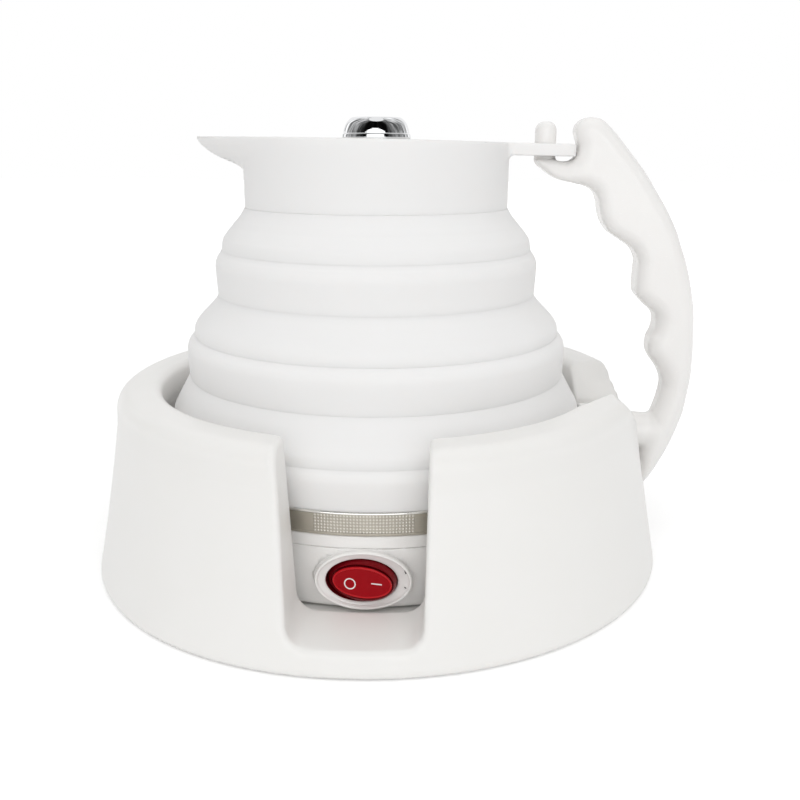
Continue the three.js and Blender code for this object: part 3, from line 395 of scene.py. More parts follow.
def cut_from(piece: Object, cutter: Object) -> None:
    """Takes one closed piece from another.

    Args:
        piece: the piece that stays.
        cutter: the piece that is taken from it and then removed.
    """
    change = piece.modifiers.new("Cut", "BOOLEAN")
    change.operation = "DIFFERENCE"
    change.solver = "EXACT"
    change.object = cutter
    keep_result(piece)
    bpy.data.objects.remove(cutter)
    piece.data.set_sharp_from_angle(angle=math.radians(CUT_SHARP))


def keep_result(piece: Object) -> Object:
    """Keeps what a piece's modifiers make as its plain mesh.

    Args:
        piece: the piece with live modifiers.

    Returns:
        The same piece, without modifiers.
    """
    bpy.context.view_layer.update()
    graph = bpy.context.evaluated_depsgraph_get()
    mesh = bpy.data.meshes.new_from_object(piece.evaluated_get(graph))
    mesh.name = piece.name
    piece.modifiers.clear()
    piece.data = mesh
    return piece


# Solids drawn as distances ----------------------------------------------------------------------

# What keeps a place inside the last cell of an outline's table
LAST_CELL = 1.001
# Steps by which the box of a skin is wider than its solid
SKIN_MARGIN = 1.6
# How often a skin's points are moved onto the solid, and how far at most, as a share of a step
SKIN_ROUNDS = 4
SKIN_MOVE = 0.4
# The least squared slope of a distance, which keeps a move short where the slope fades
LEAST_SLOPE = 0.05
# Half the span in millimetres over which a slope is read, for a move and for a normal
MOVE_REACH = 0.12
NORMAL_REACH = 0.25


def meet(a: Grid, b: Grid, radius: float) -> Grid:
    """Where two solids overlap, with a rounded edge.

    Args:
        a: distance to the first solid.
        b: distance to the second.
        radius: the radius of the edge.

    Returns:
        The distance to what they share.
    """
    outside = np.hypot(np.maximum(a + radius, 0), np.maximum(b + radius, 0))
    return np.minimum(-radius, np.maximum(a, b)) + outside


def blend_in(a: Grid, b: Grid, radius: float) -> Grid:
    """Two solids together, with a fillet where they meet.

    Args:
        a: distance to the first solid.
        b: distance to the second.
        radius: the fillet's radius.

    Returns:
        The distance to both together.
    """
    inside = np.hypot(np.maximum(radius - a, 0), np.maximum(radius - b, 0))
    return np.maximum(radius, np.minimum(a, b)) - inside


def carve(a: Grid, b: Grid, radius: float) -> Grid:
    """The first solid without the second, with rounded edges."""
    return meet(a, -b, radius)


def eased(share: Grid) -> Grid:
    """Turns an even rise from 0 to 1 into one with soft ends."""
    return share * share * (3 - 2 * share)


def tube_distance(u: Grid, v: Grid, along: Grid, radius: float, low: float,
                  high: float, edge: float = 0.3) -> Grid:
    """Distance to a round bar.

    Args:
        u: first coordinate across the bar.
        v: second coordinate across the bar.
        along: coordinate along the bar.
        radius: the bar's radius.
        low: its start.
        high: its end.
        edge: the radius of its end edges.

    Returns:
        The distance to the bar.
    """
    return meet(np.hypot(u, v) - radius, np.maximum(low - along, along - high), edge)


def oval_distance(u: Grid, v: Grid, half_u: float, half_v: float) -> Grid:
    """Distance to an ellipse, close to its edge.

    Args:
        u: first coordinate from its middle.
        v: second coordinate from its middle.
        half_u: half its size along the first.
        half_v: half its size along the second.

    Returns:
        The distance to the ellipse.
    """
    scaled = np.hypot(u / half_u, v / half_v) + TINY
    slope = np.hypot(u / half_u ** 2, v / half_v ** 2) + TINY
    return scaled * (scaled - 1) / slope


class Outline:
    """Signed distance to a closed flat outline, kept in a table."""

    def __init__(self, points: Points, margin: float = 14.0, step: float = 0.4) -> None:
        """Works out the table.

        Args:
            points: the corners of the outline.
            margin: how far the table reaches past the outline.
            step: the spacing of the table.
        """
        corners = np.array(points, float)
        self.low = corners.min(0) - margin
        self.step = step
        self.count = np.ceil((corners.max(0) + margin - self.low) / step).astype(int) + 1
        lines = [low + step * np.arange(count) for low, count in zip(self.low, self.count)]
        u, v = np.meshgrid(*lines, indexing="ij")
        nearest = np.full(u.shape, np.inf)
        inside = np.zeros(u.shape, bool)
        for (au, av), (bu, bv) in zip(corners, np.roll(corners, -1, 0)):
            du, dv = bu - au, bv - av
            share = ((u - au) * du + (v - av) * dv) / max(du * du + dv * dv, TINY)
            share = np.clip(share, 0, 1)
            nearest = np.minimum(nearest, (u - au - share * du) ** 2 + (v - av - share * dv) ** 2)
            if dv != 0:
                crosses = (av > v) != (bv > v)
                inside ^= crosses & (u < du * (v - av) / dv + au)
        self.table = np.sqrt(nearest) * np.where(inside, -1, 1)

    def __call__(self, u: Grid, v: Grid) -> Grid:
        """The distance at points.

        Args:
            u: first coordinates.
            v: second coordinates.

        Returns:
            The signed distances, below zero inside.
        """
        last_u, last_v = self.count - LAST_CELL
        place_u = np.clip((u - self.low[0]) / self.step, 0, last_u)
        place_v = np.clip((v - self.low[1]) / self.step, 0, last_v)
        m, n = place_u.astype(int), place_v.astype(int)
        s, t = place_u - m, place_v - n
        low = self.table[m, n] * (1 - s) + self.table[m + 1, n] * s
        high = self.table[m, n + 1] * (1 - s) + self.table[m + 1, n + 1] * s
        return low * (1 - t) + high * t


def slopes(solid: Field, points: Grid, reach: float) -> Grid:
    """How the distance changes along each axis.

    Args:
        solid: the solid's distance.
        points: where it is asked.
        reach: half the span of the difference.

    Returns:
        The three slopes at each point.
    """
    result = np.empty_like(points)
    for axis in range(3):
        ahead, behind = points.copy(), points.copy()
        ahead[:, axis] += reach
        behind[:, axis] -= reach
        result[:, axis] = (solid(*ahead.T) - solid(*behind.T)) / (2 * reach)
    return result


def sculpted(name: str, solid: Field, low: tuple, high: tuple, step: float) -> Object:
    """Draws the skin of a solid that is given as a distance.

    Args:
        name: the piece's name.
        solid: the distance to the solid, below zero inside.
        low: the lowest corner of its box.
        high: the highest corner of its box.
        step: the size of the skin's facets.

    Returns:
        The new piece, with its true normals.
    """
    margin = SKIN_MARGIN * step
    axes = [np.arange(start - margin, end + margin + step, step) for start, end in zip(low, high)]
    value = solid(*np.meshgrid(*axes, indexing="ij"))
    inside = value < 0
    cells = np.array(value.shape) - 1
    total = np.zeros((int(cells.prod()), 3))
    hits = np.zeros(int(cells.prod()))
    quads: list[Grid] = []
    for axis in range(3):
        first = [slice(None)] * 3
        second = [slice(None)] * 3
        first[axis], second[axis] = slice(None, -1), slice(1, None)
        a, b = value[tuple(first)], value[tuple(second)]
        place = np.argwhere(inside[tuple(first)] != inside[tuple(second)])
        start, end = a[tuple(place.T)], b[tuple(place.T)]
        crossing = place.astype(float)
        crossing[:, axis] += start / (start - end)
        u, v = (axis + 1) % 3, (axis + 2) % 3
        corners = []
        for back_u, back_v in ((0, 0), (1, 0), (1, 1), (0, 1)):
            cell = place.copy()
            cell[:, u] -= back_u
            cell[:, v] -= back_v
            number = np.ravel_multi_index(np.clip(cell, 0, cells - 1).T, cells)
            corners.append(number)
            hits += np.bincount(number, minlength=len(hits))
            for k in range(3):
                total[:, k] += np.bincount(number, weights=crossing[:, k], minlength=len(hits))
        quad = np.stack(corners, 1)
        turn = start < 0
        quads.append(np.where(turn[:, None], quad, quad[:, ::-1]))
    faces = np.concatenate(quads)
    used, faces = np.unique(faces, return_inverse=True)
    faces = faces.reshape(-1, 4)
    points = total[used] / hits[used, None] * step + np.array([axis[0] for axis in axes])
    for _ in range(SKIN_ROUNDS):
        gradient = slopes(solid, points, MOVE_REACH)
        size = np.maximum((gradient ** 2).sum(1), LEAST_SLOPE)
        move = -(solid(*points.T) / size)[:, None] * gradient
        length = np.linalg.norm(move, axis=1, keepdims=True)
        points += move * np.minimum(1, SKIN_MOVE * step / np.maximum(length, TINY))
    piece = mesh_object(name, points, faces.tolist())
    piece.data.validate()
    normals = slopes(solid, points, NORMAL_REACH)
    normals /= np.maximum(np.linalg.norm(normals, axis=1, keepdims=True), TINY)
    piece.data.normals_split_custom_set_from_vertices(normals.tolist())
    LOG.info("%s: %d facets", name, len(faces))
    return piece


# Geometry Nodes ---------------------------------------------------------------------------------


def new_tree(name: str, sockets: dict[str, str]) -> tuple[NodeTree, Node]:
    """Starts a Geometry Nodes tree.

    Args:
        name: the tree's name.
        sockets: for each input its name and socket type.

    Returns:
        The tree and its input node.
    """
    tree = bpy.data.node_groups.new(name, "GeometryNodeTree")
    tree.interface.new_socket("Geometry", in_out="OUTPUT", socket_type="NodeSocketGeometry")
    for label, kind in sockets.items():
        tree.interface.new_socket(label, in_out="INPUT", socket_type=kind)
    return tree, add_node(tree, "NodeGroupInput")


def end_tree(tree: NodeTree, geometry: NodeSocket, finish: NodeSocket) -> None:
    """Ends a tree in real geometry with its material.

    Args:
        tree: the tree to end.
        geometry: what it has made.
        finish: the socket that gives the material.
    """
    real = add_node(tree, "GeometryNodeRealizeInstances", links={"Geometry": geometry})
    smooth = add_node(tree, "GeometryNodeSetShadeSmooth", links={"Geometry": real.outputs[0]})
    dressed = add_node(tree, "GeometryNodeSetMaterial",
                       links={"Geometry": smooth.outputs[0], "Material": finish})
    add_node(tree, "NodeGroupOutput", links={0: dressed.outputs[0]})


def grown(name: str, tree: NodeTree, values: dict) -> Object:
    """Runs a tree and keeps its result as a plain mesh.

    Args:
        name: the piece's name.
        tree: the Geometry Nodes tree.
        values: the value of each named input.

    Returns:
        The new piece.
    """
    piece = bpy.data.objects.new(name, bpy.data.meshes.new(name))
    bpy.context.scene.collection.objects.link(piece)
    change = piece.modifiers.new(tree.name, "NODES")
    change.node_group = tree
    sockets = {s.name: s.identifier for s in tree.interface.items_tree if s.in_out == "INPUT"}
    for label, value in values.items():
        change[sockets[label]] = value
    return keep_result(piece)


def ring_tree() -> NodeTree:
    """A tree that sets copies of one part evenly round the upright axis, made once.

    Returns:
        The tree.
    """
    name = "PartsRoundAxis"
    if name in bpy.data.node_groups:
        return bpy.data.node_groups[name]
    tree, given = new_tree(name, {
        "Part": "NodeSocketObject", "Count": "NodeSocketInt", "Circle": "NodeSocketFloat",
        "First angle": "NodeSocketFloat", "Finish": "NodeSocketMaterial"})
    circle = add_node(tree, "GeometryNodeMeshCircle", {"fill_type": "NONE"},
                      {"Vertices": given.outputs["Count"], "Radius": given.outputs["Circle"]})
    turn = add_node(tree, "ShaderNodeCombineXYZ", links={"Z": given.outputs["First angle"]})
    placed = add_node(tree, "GeometryNodeTransform",
                      links={"Geometry": circle.outputs[0], "Rotation": turn.outputs[0]})
    part = add_node(tree, "GeometryNodeObjectInfo", links={"Object": given.outputs["Part"]})
    copies = add_node(tree, "GeometryNodeInstanceOnPoints",
                      links={"Points": placed.outputs[0], "Instance": part.outputs["Geometry"]})
    end_tree(tree, copies.outputs[0], given.outputs["Finish"])
    return tree


def turning_tree() -> NodeTree:
    """A tree that turns a closed outline into a ring, for the bands and folds of the bellows.

    Returns:
        The tree.
    """
    tree, given = new_tree("TurnedRing", {
        "Outline": "NodeSocketObject", "Radius": "NodeSocketFloat", "Steps": "NodeSocketInt",
        "Finish": "NodeSocketMaterial"})
    circle = add_node(tree, "GeometryNodeCurvePrimitiveCircle", {"mode": "RADIUS"},
                      {"Resolution": given.outputs["Steps"], "Radius": given.outputs["Radius"]})
    upright = add_node(tree, "GeometryNodeSetCurveNormal", {"mode": "Z_UP"}, {0: circle.outputs[0]})
    outline = add_node(tree, "GeometryNodeObjectInfo", links={"Object": given.outputs["Outline"]})
    line = add_node(tree, "GeometryNodeMeshToCurve", links={"Mesh": outline.outputs["Geometry"]})
    ring = add_node(tree, "GeometryNodeCurveToMesh",
                    links={"Curve": upright.outputs[0], "Profile Curve": line.outputs[0]})
    end_tree(tree, ring.outputs[0], given.outputs["Finish"])
    return tree


def pips_tree() -> NodeTree:
    """A tree that sets rows of raised pips on a patch of an upright cylinder, facing -Y.

    Returns:
        The tree.
    """
    tree, given = new_tree("PipsOnHoop", {
        "Pip": "NodeSocketObject", "Columns": "NodeSocketInt", "Rows": "NodeSocketInt",
        "Width": "NodeSocketFloat", "Height": "NodeSocketFloat", "Radius": "NodeSocketFloat",
        "Middle": "NodeSocketFloat", "Finish": "NodeSocketMaterial"})
    patch = add_node(tree, "GeometryNodeMeshGrid", links={
        "Size X": given.outputs["Width"], "Size Y": given.outputs["Height"],
        "Vertices X": given.outputs["Columns"], "Vertices Y": given.outputs["Rows"]})
    pip = add_node(tree, "GeometryNodeObjectInfo", links={"Object": given.outputs["Pip"]})
    copies = add_node(tree, "GeometryNodeInstanceOnPoints",
                      links={"Points": patch.outputs["Mesh"], "Instance": pip.outputs["Geometry"]})
    real = add_node(tree, "GeometryNodeRealizeInstances", links={"Geometry": copies.outputs[0]})
    flat = add_node(tree, "GeometryNodeInputPosition").outputs[0]
    place = add_node(tree, "ShaderNodeSeparateXYZ", links={0: flat})

    def sums(kind: str, a: object, b: object = 0.0) -> NodeSocket:
        """One step of arithmetic."""
        return add_node(tree, "ShaderNodeMath", {"operation": kind}, {0: a, 1: b}).outputs[0]

    angle = sums("DIVIDE", place.outputs["X"], given.outputs["Radius"])
    reach = sums("ADD", place.outputs["Z"], given.outputs["Radius"])
    wrapped = add_node(tree, "ShaderNodeCombineXYZ", links={
        "X": sums("MULTIPLY", reach, sums("SINE", angle)),
        "Y": sums("MULTIPLY", sums("MULTIPLY", reach, sums("COSINE", angle)), -1.0),
        "Z": sums("ADD", place.outputs["Y"], given.outputs["Middle"])})
    bent = add_node(tree, "GeometryNodeSetPosition",
                    links={"Geometry": real.outputs[0], "Position": wrapped.outputs[0]})
    end_tree(tree, bent.outputs[0], given.outputs["Finish"])
    return tree


# Finishes ---------------------------------------------------------------------------------------


@dataclass(frozen=True)
class Finish:
    """A surface: what it is made of, how it was made, and what that gives the eye.

    The grain is a bump of real size in millimetres, and the mottle is a faint change of colour.
    """

    name: str
    colour: str
    shade: str
    roughness: float
    metallic: float = 0.0
    ior: float = 1.5
    grain_size: Triple = (0.5, 0.5, 0.5)
    grain_depth: float = 0.01
    mottle_size: float = 18.0
    rough_spread: float = 0.04
    subsurface: float = 0.0
    subsurface_reach: float = 2.0
    sheen: float = 0.0
    specular: float = 0.5

    def material(self) -> Material:
        """The finish as a material, made once.

        Returns:
            The material.
        """
        known = bpy.data.materials.get(self.name)
        if known is not None:
            return known
        material = bpy.data.materials.new(self.name)
        tree = cleared_tree(material)
        place = add_node(tree, "ShaderNodeTexCoord").outputs["Object"]
        mottle = add_node(tree, "ShaderNodeTexNoise", links={
            "Vector": place, "Scale": 1 / (self.mottle_size * MM), "Detail": 3.0,
            "Roughness": 0.5})
        tint = add_node(tree, "ShaderNodeMix", {"data_type": "RGBA"}, {
            "Factor": mottle.outputs["Fac"], 6: linear(self.colour), 7: linear(self.shade)})
        scale = tuple(1 / (size * MM) for size in self.grain_size)
        stretched = add_node(tree, "ShaderNodeMapping", {"vector_type": "POINT"},
                             {"Vector": place, "Scale": scale})
        grain = add_node(tree, "ShaderNodeTexNoise", links={
            "Vector": stretched.outputs[0], "Scale": 1.0, "Detail": 2.0, "Roughness": 0.55})
        bump = add_node(tree, "ShaderNodeBump", links={
            "Height": grain.outputs["Fac"], "Distance": self.grain_depth * MM, "Strength": 1.0})
        wear = add_node(tree, "ShaderNodeMapRange", links={
            "Value": grain.outputs["Fac"], "To Min": self.roughness - self.rough_spread,
            "To Max": self.roughness + self.rough_spread})
        shader = add_node(tree, "ShaderNodeBsdfPrincipled", links={
            "Base Color": tint.outputs[2], "Metallic": self.metallic, "Roughness": wear.outputs[0],
            "IOR": self.ior, "Normal": bump.outputs[0],
            "Sheen Weight": self.sheen, "Specular IOR Level": self.specular,
            "Subsurface Weight": self.subsurface, "Subsurface Radius": (1.0, 0.9, 0.85),
            "Subsurface Scale": self.subsurface_reach * MM})
        add_node(tree, "ShaderNodeOutputMaterial", links={"Surface": shader.outputs[0]})
        return material


class Finishes:
    """Every finish of the kettle."""

    # Injection-moulded polypropylene, satin white: a soft gloss and a very fine spark-eroded grain
    cradle = Finish("moulded_pp_warm_white", "#F3F2F0", "#F1F0ED", 0.36, ior=1.49,
                    grain_size=(0.45, 0.45, 0.45), grain_depth=0.001,
                    subsurface=0.06, subsurface_reach=1.5)
    # The same resin on the base, lid and handle, polished a little more
    housing = Finish("moulded_pp_polished_white", "#F5F4F2", "#F3F1EF", 0.27, ior=1.49,
                     grain_size=(0.6, 0.6, 0.6), grain_depth=0.0002, rough_spread=0.01,
                     subsurface=0.06, subsurface_reach=1.5)
    # Moulded food silicone: matte, slightly milky, with light that bleeds a little into the edges
    silicone = Finish("moulded_silicone_milky_white", "#F4F3F2", "#F2F1F0", 0.56, ior=1.41,
                      grain_size=(0.35, 0.35, 0.35), grain_depth=0.002,
                      subsurface=0.22, subsurface_reach=3.0, sheen=0.03)
    # Stainless strip brushed along the hoop: fine lines round it, drawn 0.12 mm apart
    brushed = Finish("brushed_stainless_strip", "#C6C1B6", "#AFA99D", 0.56, metallic=1.0,
                     grain_size=(9.0, 9.0, 0.12), grain_depth=0.014, mottle_size=9.0,
                     rough_spread=0.08)
    # The hoop's rolled edge: a steel colour far brighter than the hoop's, a painted highlight along
    # its top, with a smoother polish
    rolled = Finish("rolled_stainless_edge", "#F6F5F2", "#ECEBE7", 0.14, metallic=1.0,
                    grain_size=(5.0, 5.0, 0.3), grain_depth=0.002, rough_spread=0.05)
    # Stamped stainless pips: the hoop's steel in a brighter colour, painted highlight on the pips,
    # with a smoother polish
    pips = Finish("stamped_stainless_pips", "#D8D5CE", "#C4C0B7", 0.34, metallic=1.0,
                  grain_size=(0.3, 0.3, 0.3), grain_depth=0.01, rough_spread=0.06)
    # Drawn stainless sheet: satin, with a broad cloudy polish
    pan = Finish("drawn_stainless_satin", "#C9C9C6", "#BDBDB9", 0.3, metallic=1.0,
                 grain_size=(6.0, 6.0, 0.3), grain_depth=0.01, rough_spread=0.06)
    # Polished chromium plate: a hard mirror
    chrome = Finish("polished_chromium_plate", "#E8E9EA", "#E2E3E5", 0.05, metallic=1.0,
                    grain_size=(2.0, 2.0, 2.0), grain_depth=0.0008, rough_spread=0.02)
    # Zinc-plated steel fasteners: cool grey, dull, finely pitted
    zinc = Finish("zinc_plated_steel", "#B9BCC0", "#A7AAAE", 0.34, metallic=1.0,
                  grain_size=(0.4, 0.4, 0.4), grain_depth=0.008, rough_spread=0.08)
    # Clear red acrylic of the rocker's face: deep colour under a soft gloss
    acrylic = Finish("moulded_red_acrylic", "#A50A17", "#970915", 0.32, ior=1.49,
                     grain_size=(1.5, 1.5, 1.5), grain_depth=0.0005,
                     subsurface=0.15, subsurface_reach=1.2, specular=0.1)
    # The same red acrylic in a darker colour: painted shade for the rocker's body and the well
    # round it
    acrylic_painted_shade = Finish("moulded_red_acrylic_side", "#7C0813", "#6E0611", 0.3, ior=1.49,
                          grain_size=(1.5, 1.5, 1.5), grain_depth=0.0005, specular=0.12)
    # The same red acrylic in a brighter colour: a painted highlight on the rocker's raised rim
    acrylic_rim_painted_highlight = Finish("moulded_red_acrylic_rim", "#C41620", "#B8131C", 0.3, ior=1.49,
                         grain_size=(1.5, 1.5, 1.5), grain_depth=0.001, specular=0.25)
    # Pad-printed epoxy ink: flat white with soft edges
    ink = Finish("pad_printed_white_ink", "#F4F1F1", "#E9E4E4", 0.5, grain_size=(0.2, 0.2, 0.2),
                 grain_depth=0.004)
    # Soft rubber pads: dull and slightly warm
    rubber = Finish("moulded_rubber_pad", "#DCDBD8", "#D2D1CE", 0.75, ior=1.52,
                    grain_size=(0.3, 0.3, 0.3), grain_depth=0.02)
    # Turned brass contacts: warm yellow metal with a worn polish
    brass = Finish("turned_brass", "#CDA962", "#BC9650", 0.26, metallic=1.0,
                   grain_size=(3.0, 3.0, 0.2), grain_depth=0.006, rough_spread=0.08)
    # Glass-filled black nylon: dark grey with a dry grain
    nylon = Finish("glass_filled_black_nylon", "#1C1C1E", "#262628", 0.48, ior=1.53,
                   grain_size=(0.3, 0.3, 0.3), grain_depth=0.02, rough_spread=0.08)
    # Cast aluminium of the heater plate: pale grey, coarse satin
    aluminium = Finish("cast_aluminium", "#C6C7C8", "#B5B6B8", 0.42, metallic=1.0,
                       grain_size=(0.8, 0.8, 0.8), grain_depth=0.02, rough_spread=0.1)
    # Braided sleeve on the inner leads: pale glass-fibre weave
    sleeve = Finish("braided_glass_sleeve", "#E5DFD0", "#CFC8B6", 0.7,
                    grain_size=(0.5, 0.5, 0.5), grain_depth=0.05)
    # Acetal washer: waxy off-white
    acetal = Finish("turned_acetal", "#EDEBE6", "#E6E3DD", 0.4, ior=1.48,
                    grain_size=(0.5, 0.5, 0.5), grain_depth=0.004, subsurface=0.1)


def settle(piece: Object, finish: Finish | None, body: Body | None,
           nodes: tuple[str, ...] = ()) -> Object:
    """Dresses a piece and ties it to the frame.

    Args:
        piece: the finished piece.
        finish: its finish, or None where it already has one.
        body: the body it rides on, or None to leave it on no body.
        nodes: the CAD nodes that it replaces.

    Returns:
        The same piece.
    """
    if finish is not None:
        piece.data.materials.clear()
        piece.data.materials.append(finish.material())
    if nodes:
        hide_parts(*nodes)
    if body is not None:
        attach(piece, body.value)
    LOG.info("%s on %s: %d points", piece.name, body.value if body else "two bodies",
             len(piece.data.vertices))
    return piece


def dress(frame: dict, finishes: dict[str, Finish]) -> None:
    """Gives CAD nodes that stay a real finish.

    Args:
        frame: the loaded frame.
        finishes: the finish of each node, by name.
    """
    for name, finish in finishes.items():
        node = frame["nodes"][name]
        if not node.material_slots:
            node.data.materials.append(finish.material())
        for held in node.material_slots:
            held.material = finish.material()


def four_round(name: str, part: Object, circle: float, finish: Finish | None = None,
               first_angle: float = math.pi / 4) -> Object:
    """Sets four copies of a part evenly round the axis, and removes the part.

    Args:
        name: the name of the four together.
        part: the part, standing on the axis.
        circle: the radius of the circle that they stand on.
        finish: their finish, or None for a cutter.
        first_angle: where the first one stands.

    Returns:
        The four copies as one piece.
    """
    values = {"Part": part, "Count": len(QUARTERS), "Circle": circle * MM,
              "First angle": first_angle}
    if finish is not None:
        values["Finish"] = finish.material()
    copies = grown(name, ring_tree(), values)
    bpy.data.objects.remove(part)
    return copies


# Sub-assemblies ---------------------------------------------------------------------------------


@dataclass(frozen=True)
class Softbox:
    """A soft lamp: where it hangs, what it looks at, its size and its power in watts."""

    name: str
    place: Triple
    aim: Triple
    width: float
    height: float
    watts: float
    reflected: bool


@dataclass
class Studio:
    """Camera, floor, soft lamps and the dark cloth that draws the shape of polished metal.

    The camera's turns are in radians, the cloth's angles in degrees.
    """

    camera_place: Triple = (21.10, -317.19, 139.73)
    camera_turn: float = 0.0401
    camera_tip: float = 0.268873
    camera_roll: float = 0.004821
    lens: float = 40.84
    sensor: float = 36.0
    sight: Pair = (10.0, 50000.0)
    floor_half: float = 4000.0
    sky_light: float = 0.645
    sky_white: float = 1.0
    floor_glow: Pair = (0.27, 0.7)
    glow_reach: Pair = (110.0, 700.0)
    lamps: tuple[Softbox, ...] = (
        Softbox("front_softbox", (60, -1150, 330), (0, 0, 60), 1300, 900, 2.85, True),
        Softbox("top_softbox", (60, -420, 1000), (0, 0, 80), 1100, 1000, 3.0, False))
    cloth_radius: float = 900.0
    cloth_level: float = 146.0
    cloth_turn: float = 150.0
    cloth_tips: Pair = (6.0, 75.0)
    cloth_step: float = 3.0
    cloth_window: Pair = (38.0, 33.0)
    cloth_depths: Pair = (-680.0, 600.0)
    cloth_glow: Pair = (0.004, 0.85)
    streak_stretch: float = 0.15
    streak_noise: Pair = (0.36, 0.64)
    streak_glow: Pair = (0.25, 1.6)

    def set_camera(self) -> None:
        """Puts the camera where the photograph was taken from."""
        across = Vector((math.cos(self.camera_turn), math.sin(self.camera_turn), 0))
        level = Vector((-math.sin(self.camera_turn), math.cos(self.camera_turn), 0))
        upright = Vector((0, 0, 1))
        ahead = level * math.cos(self.camera_tip) - upright * math.sin(self.camera_tip)
        up = level * math.sin(self.camera_tip) + upright * math.cos(self.camera_tip)
        right = across * math.cos(self.camera_roll) + up * math.sin(self.camera_roll)
        top = up * math.cos(self.camera_roll) - across * math.sin(self.camera_roll)
        data = bpy.data.cameras.new("camera")
        data.lens, data.sensor_width = self.lens, self.sensor
        data.clip_start, data.clip_end = [length * MM for length in self.sight]
        camera = bpy.data.objects.new("camera", data)
        turn = Matrix([right, top, -ahead]).transposed().to_4x4()
        camera.matrix_world = Matrix.Translation(Vector(self.camera_place) * MM) @ turn
        bpy.context.scene.collection.objects.link(camera)
        bpy.context.scene.camera = camera

    def set_lamps(self) -> None:
        """Hangs the soft lamps."""
        for box in self.lamps:
            data = bpy.data.lights.new(box.name, "AREA")
            data.shape, data.energy = "RECTANGLE", box.watts
            data.size, data.size_y = box.width * MM, box.height * MM
            lamp = bpy.data.objects.new(box.name, data)
            lamp.location = Vector(box.place) * MM
            ahead = Vector(box.aim) - Vector(box.place)
            lamp.rotation_euler = ahead.to_track_quat("-Z", "Y").to_euler()
            lamp.visible_glossy = box.reflected
            bpy.context.scene.collection.objects.link(lamp)

    def set_world(self) -> None:
        """Makes the world white to the eye and to reflections, and plain soft light to the rest."""
        world = bpy.data.worlds.new("studio")
        tree = cleared_tree(world)
        light, seen = [add_node(tree, "ShaderNodeBackground", links={
            "Color": linear("#FFFFFF"), "Strength": strength}).outputs[0]
            for strength in (self.sky_light, self.sky_white)]
        mixed = add_node(tree, "ShaderNodeMixShader", links={
            0: self.direct_rays(tree), 1: light, 2: seen})
        add_node(tree, "ShaderNodeOutputWorld", links={"Surface": mixed.outputs[0]})
        bpy.context.scene.world = world

    def direct_rays(self, tree: NodeTree) -> NodeSocket:
        """One for rays from the camera, reflections and clear parts, and none for the rest.

        Args:
            tree: the tree that gets the nodes.

        Returns:
            The socket with the answer.
        """
        path = add_node(tree, "ShaderNodeLightPath")
        some = add_node(tree, "ShaderNodeMath", {"operation": "MAXIMUM"}, {
            0: path.outputs["Is Camera Ray"], 1: path.outputs["Is Glossy Ray"]})
        return add_node(tree, "ShaderNodeMath", {"operation": "MAXIMUM"}, {
            0: some.outputs[0], 1: path.outputs["Is Transmission Ray"]}).outputs[0]

    def set_floor(self) -> None:
        """Lays a white floor that keeps the kettle's shadow."""
        half = self.floor_half
        corners = [(-half, -half, 0), (half, -half, 0), (half, half, 0), (-half, half, 0)]
        floor = mesh_object("floor", np.array(corners), [(0, 1, 2, 3)])
        material = bpy.data.materials.new("studio_paper")
        tree = cleared_tree(material)
        paper = add_node(tree, "ShaderNodeBsdfDiffuse", links={"Color": linear("#F4F4F4")})
        place = add_node(tree, "ShaderNodeTexCoord").outputs["Object"]
        away = add_node(tree, "ShaderNodeVectorMath", {"operation": "LENGTH"},
                        {0: place}).outputs["Value"]
        near, far = self.glow_reach
        fade = add_node(tree, "ShaderNodeMapRange", links={
            "Value": away, "From Min": near * MM, "From Max": far * MM,
            "To Min": self.floor_glow[0], "To Max": self.floor_glow[1]})
        glow = add_node(tree, "ShaderNodeEmission", links={
            "Color": linear("#FFFFFF"), "Strength": fade.outputs[0]})
        both = add_node(tree, "ShaderNodeAddShader", links={
            0: paper.outputs[0], 1: glow.outputs[0]})
        mixed = add_node(tree, "ShaderNodeMixShader", links={
            0: self.direct_rays(tree), 1: paper.outputs[0], 2: both.outputs[0]})
        add_node(tree, "ShaderNodeOutputMaterial", links={"Surface": mixed.outputs[0]})
        floor.data.materials.append(material)

    def cloth_material(self) -> Material:
        """Black cloth in long streaks, which grows paler towards the back.

        Returns:
            The material.
        """
        material = bpy.data.materials.new("studio_black_cloth")
        tree = cleared_tree(material)
        place = add_node(tree, "ShaderNodeTexCoord").outputs["Object"]
        deep = add_node(tree, "ShaderNodeSeparateXYZ", links={0: place}).outputs["Y"]
        front, back = self.cloth_depths
        fade = add_node(tree, "ShaderNodeMapRange", links={
            "Value": deep, "From Min": front * MM, "From Max": back * MM,
            "To Min": self.cloth_glow[0], "To Max": self.cloth_glow[1]}).outputs[0]
        tall = add_node(tree, "ShaderNodeMapping", links={
            "Vector": place, "Scale": (1, 1, self.streak_stretch)}).outputs[0]
        noise = add_node(tree, "ShaderNodeTexNoise", links={
            "Vector": tall, "Scale": 6.0, "Detail": 3.0}).outputs["Fac"]
        streaks = add_node(tree, "ShaderNodeMapRange", links={
            "Value": noise, "From Min": self.streak_noise[0], "From Max": self.streak_noise[1],
            "To Min": self.streak_glow[0], "To Max": self.streak_glow[1]}).outputs[0]
        strength = add_node(tree, "ShaderNodeMath", {"operation": "MULTIPLY"},
                            {0: fade, 1: streaks}).outputs[0]
        cloth = add_node(tree, "ShaderNodeEmission", links={
            "Color": linear("#FFFFFF"), "Strength": strength})
        add_node(tree, "ShaderNodeOutputMaterial", links={"Surface": cloth.outputs[0]})
        return material

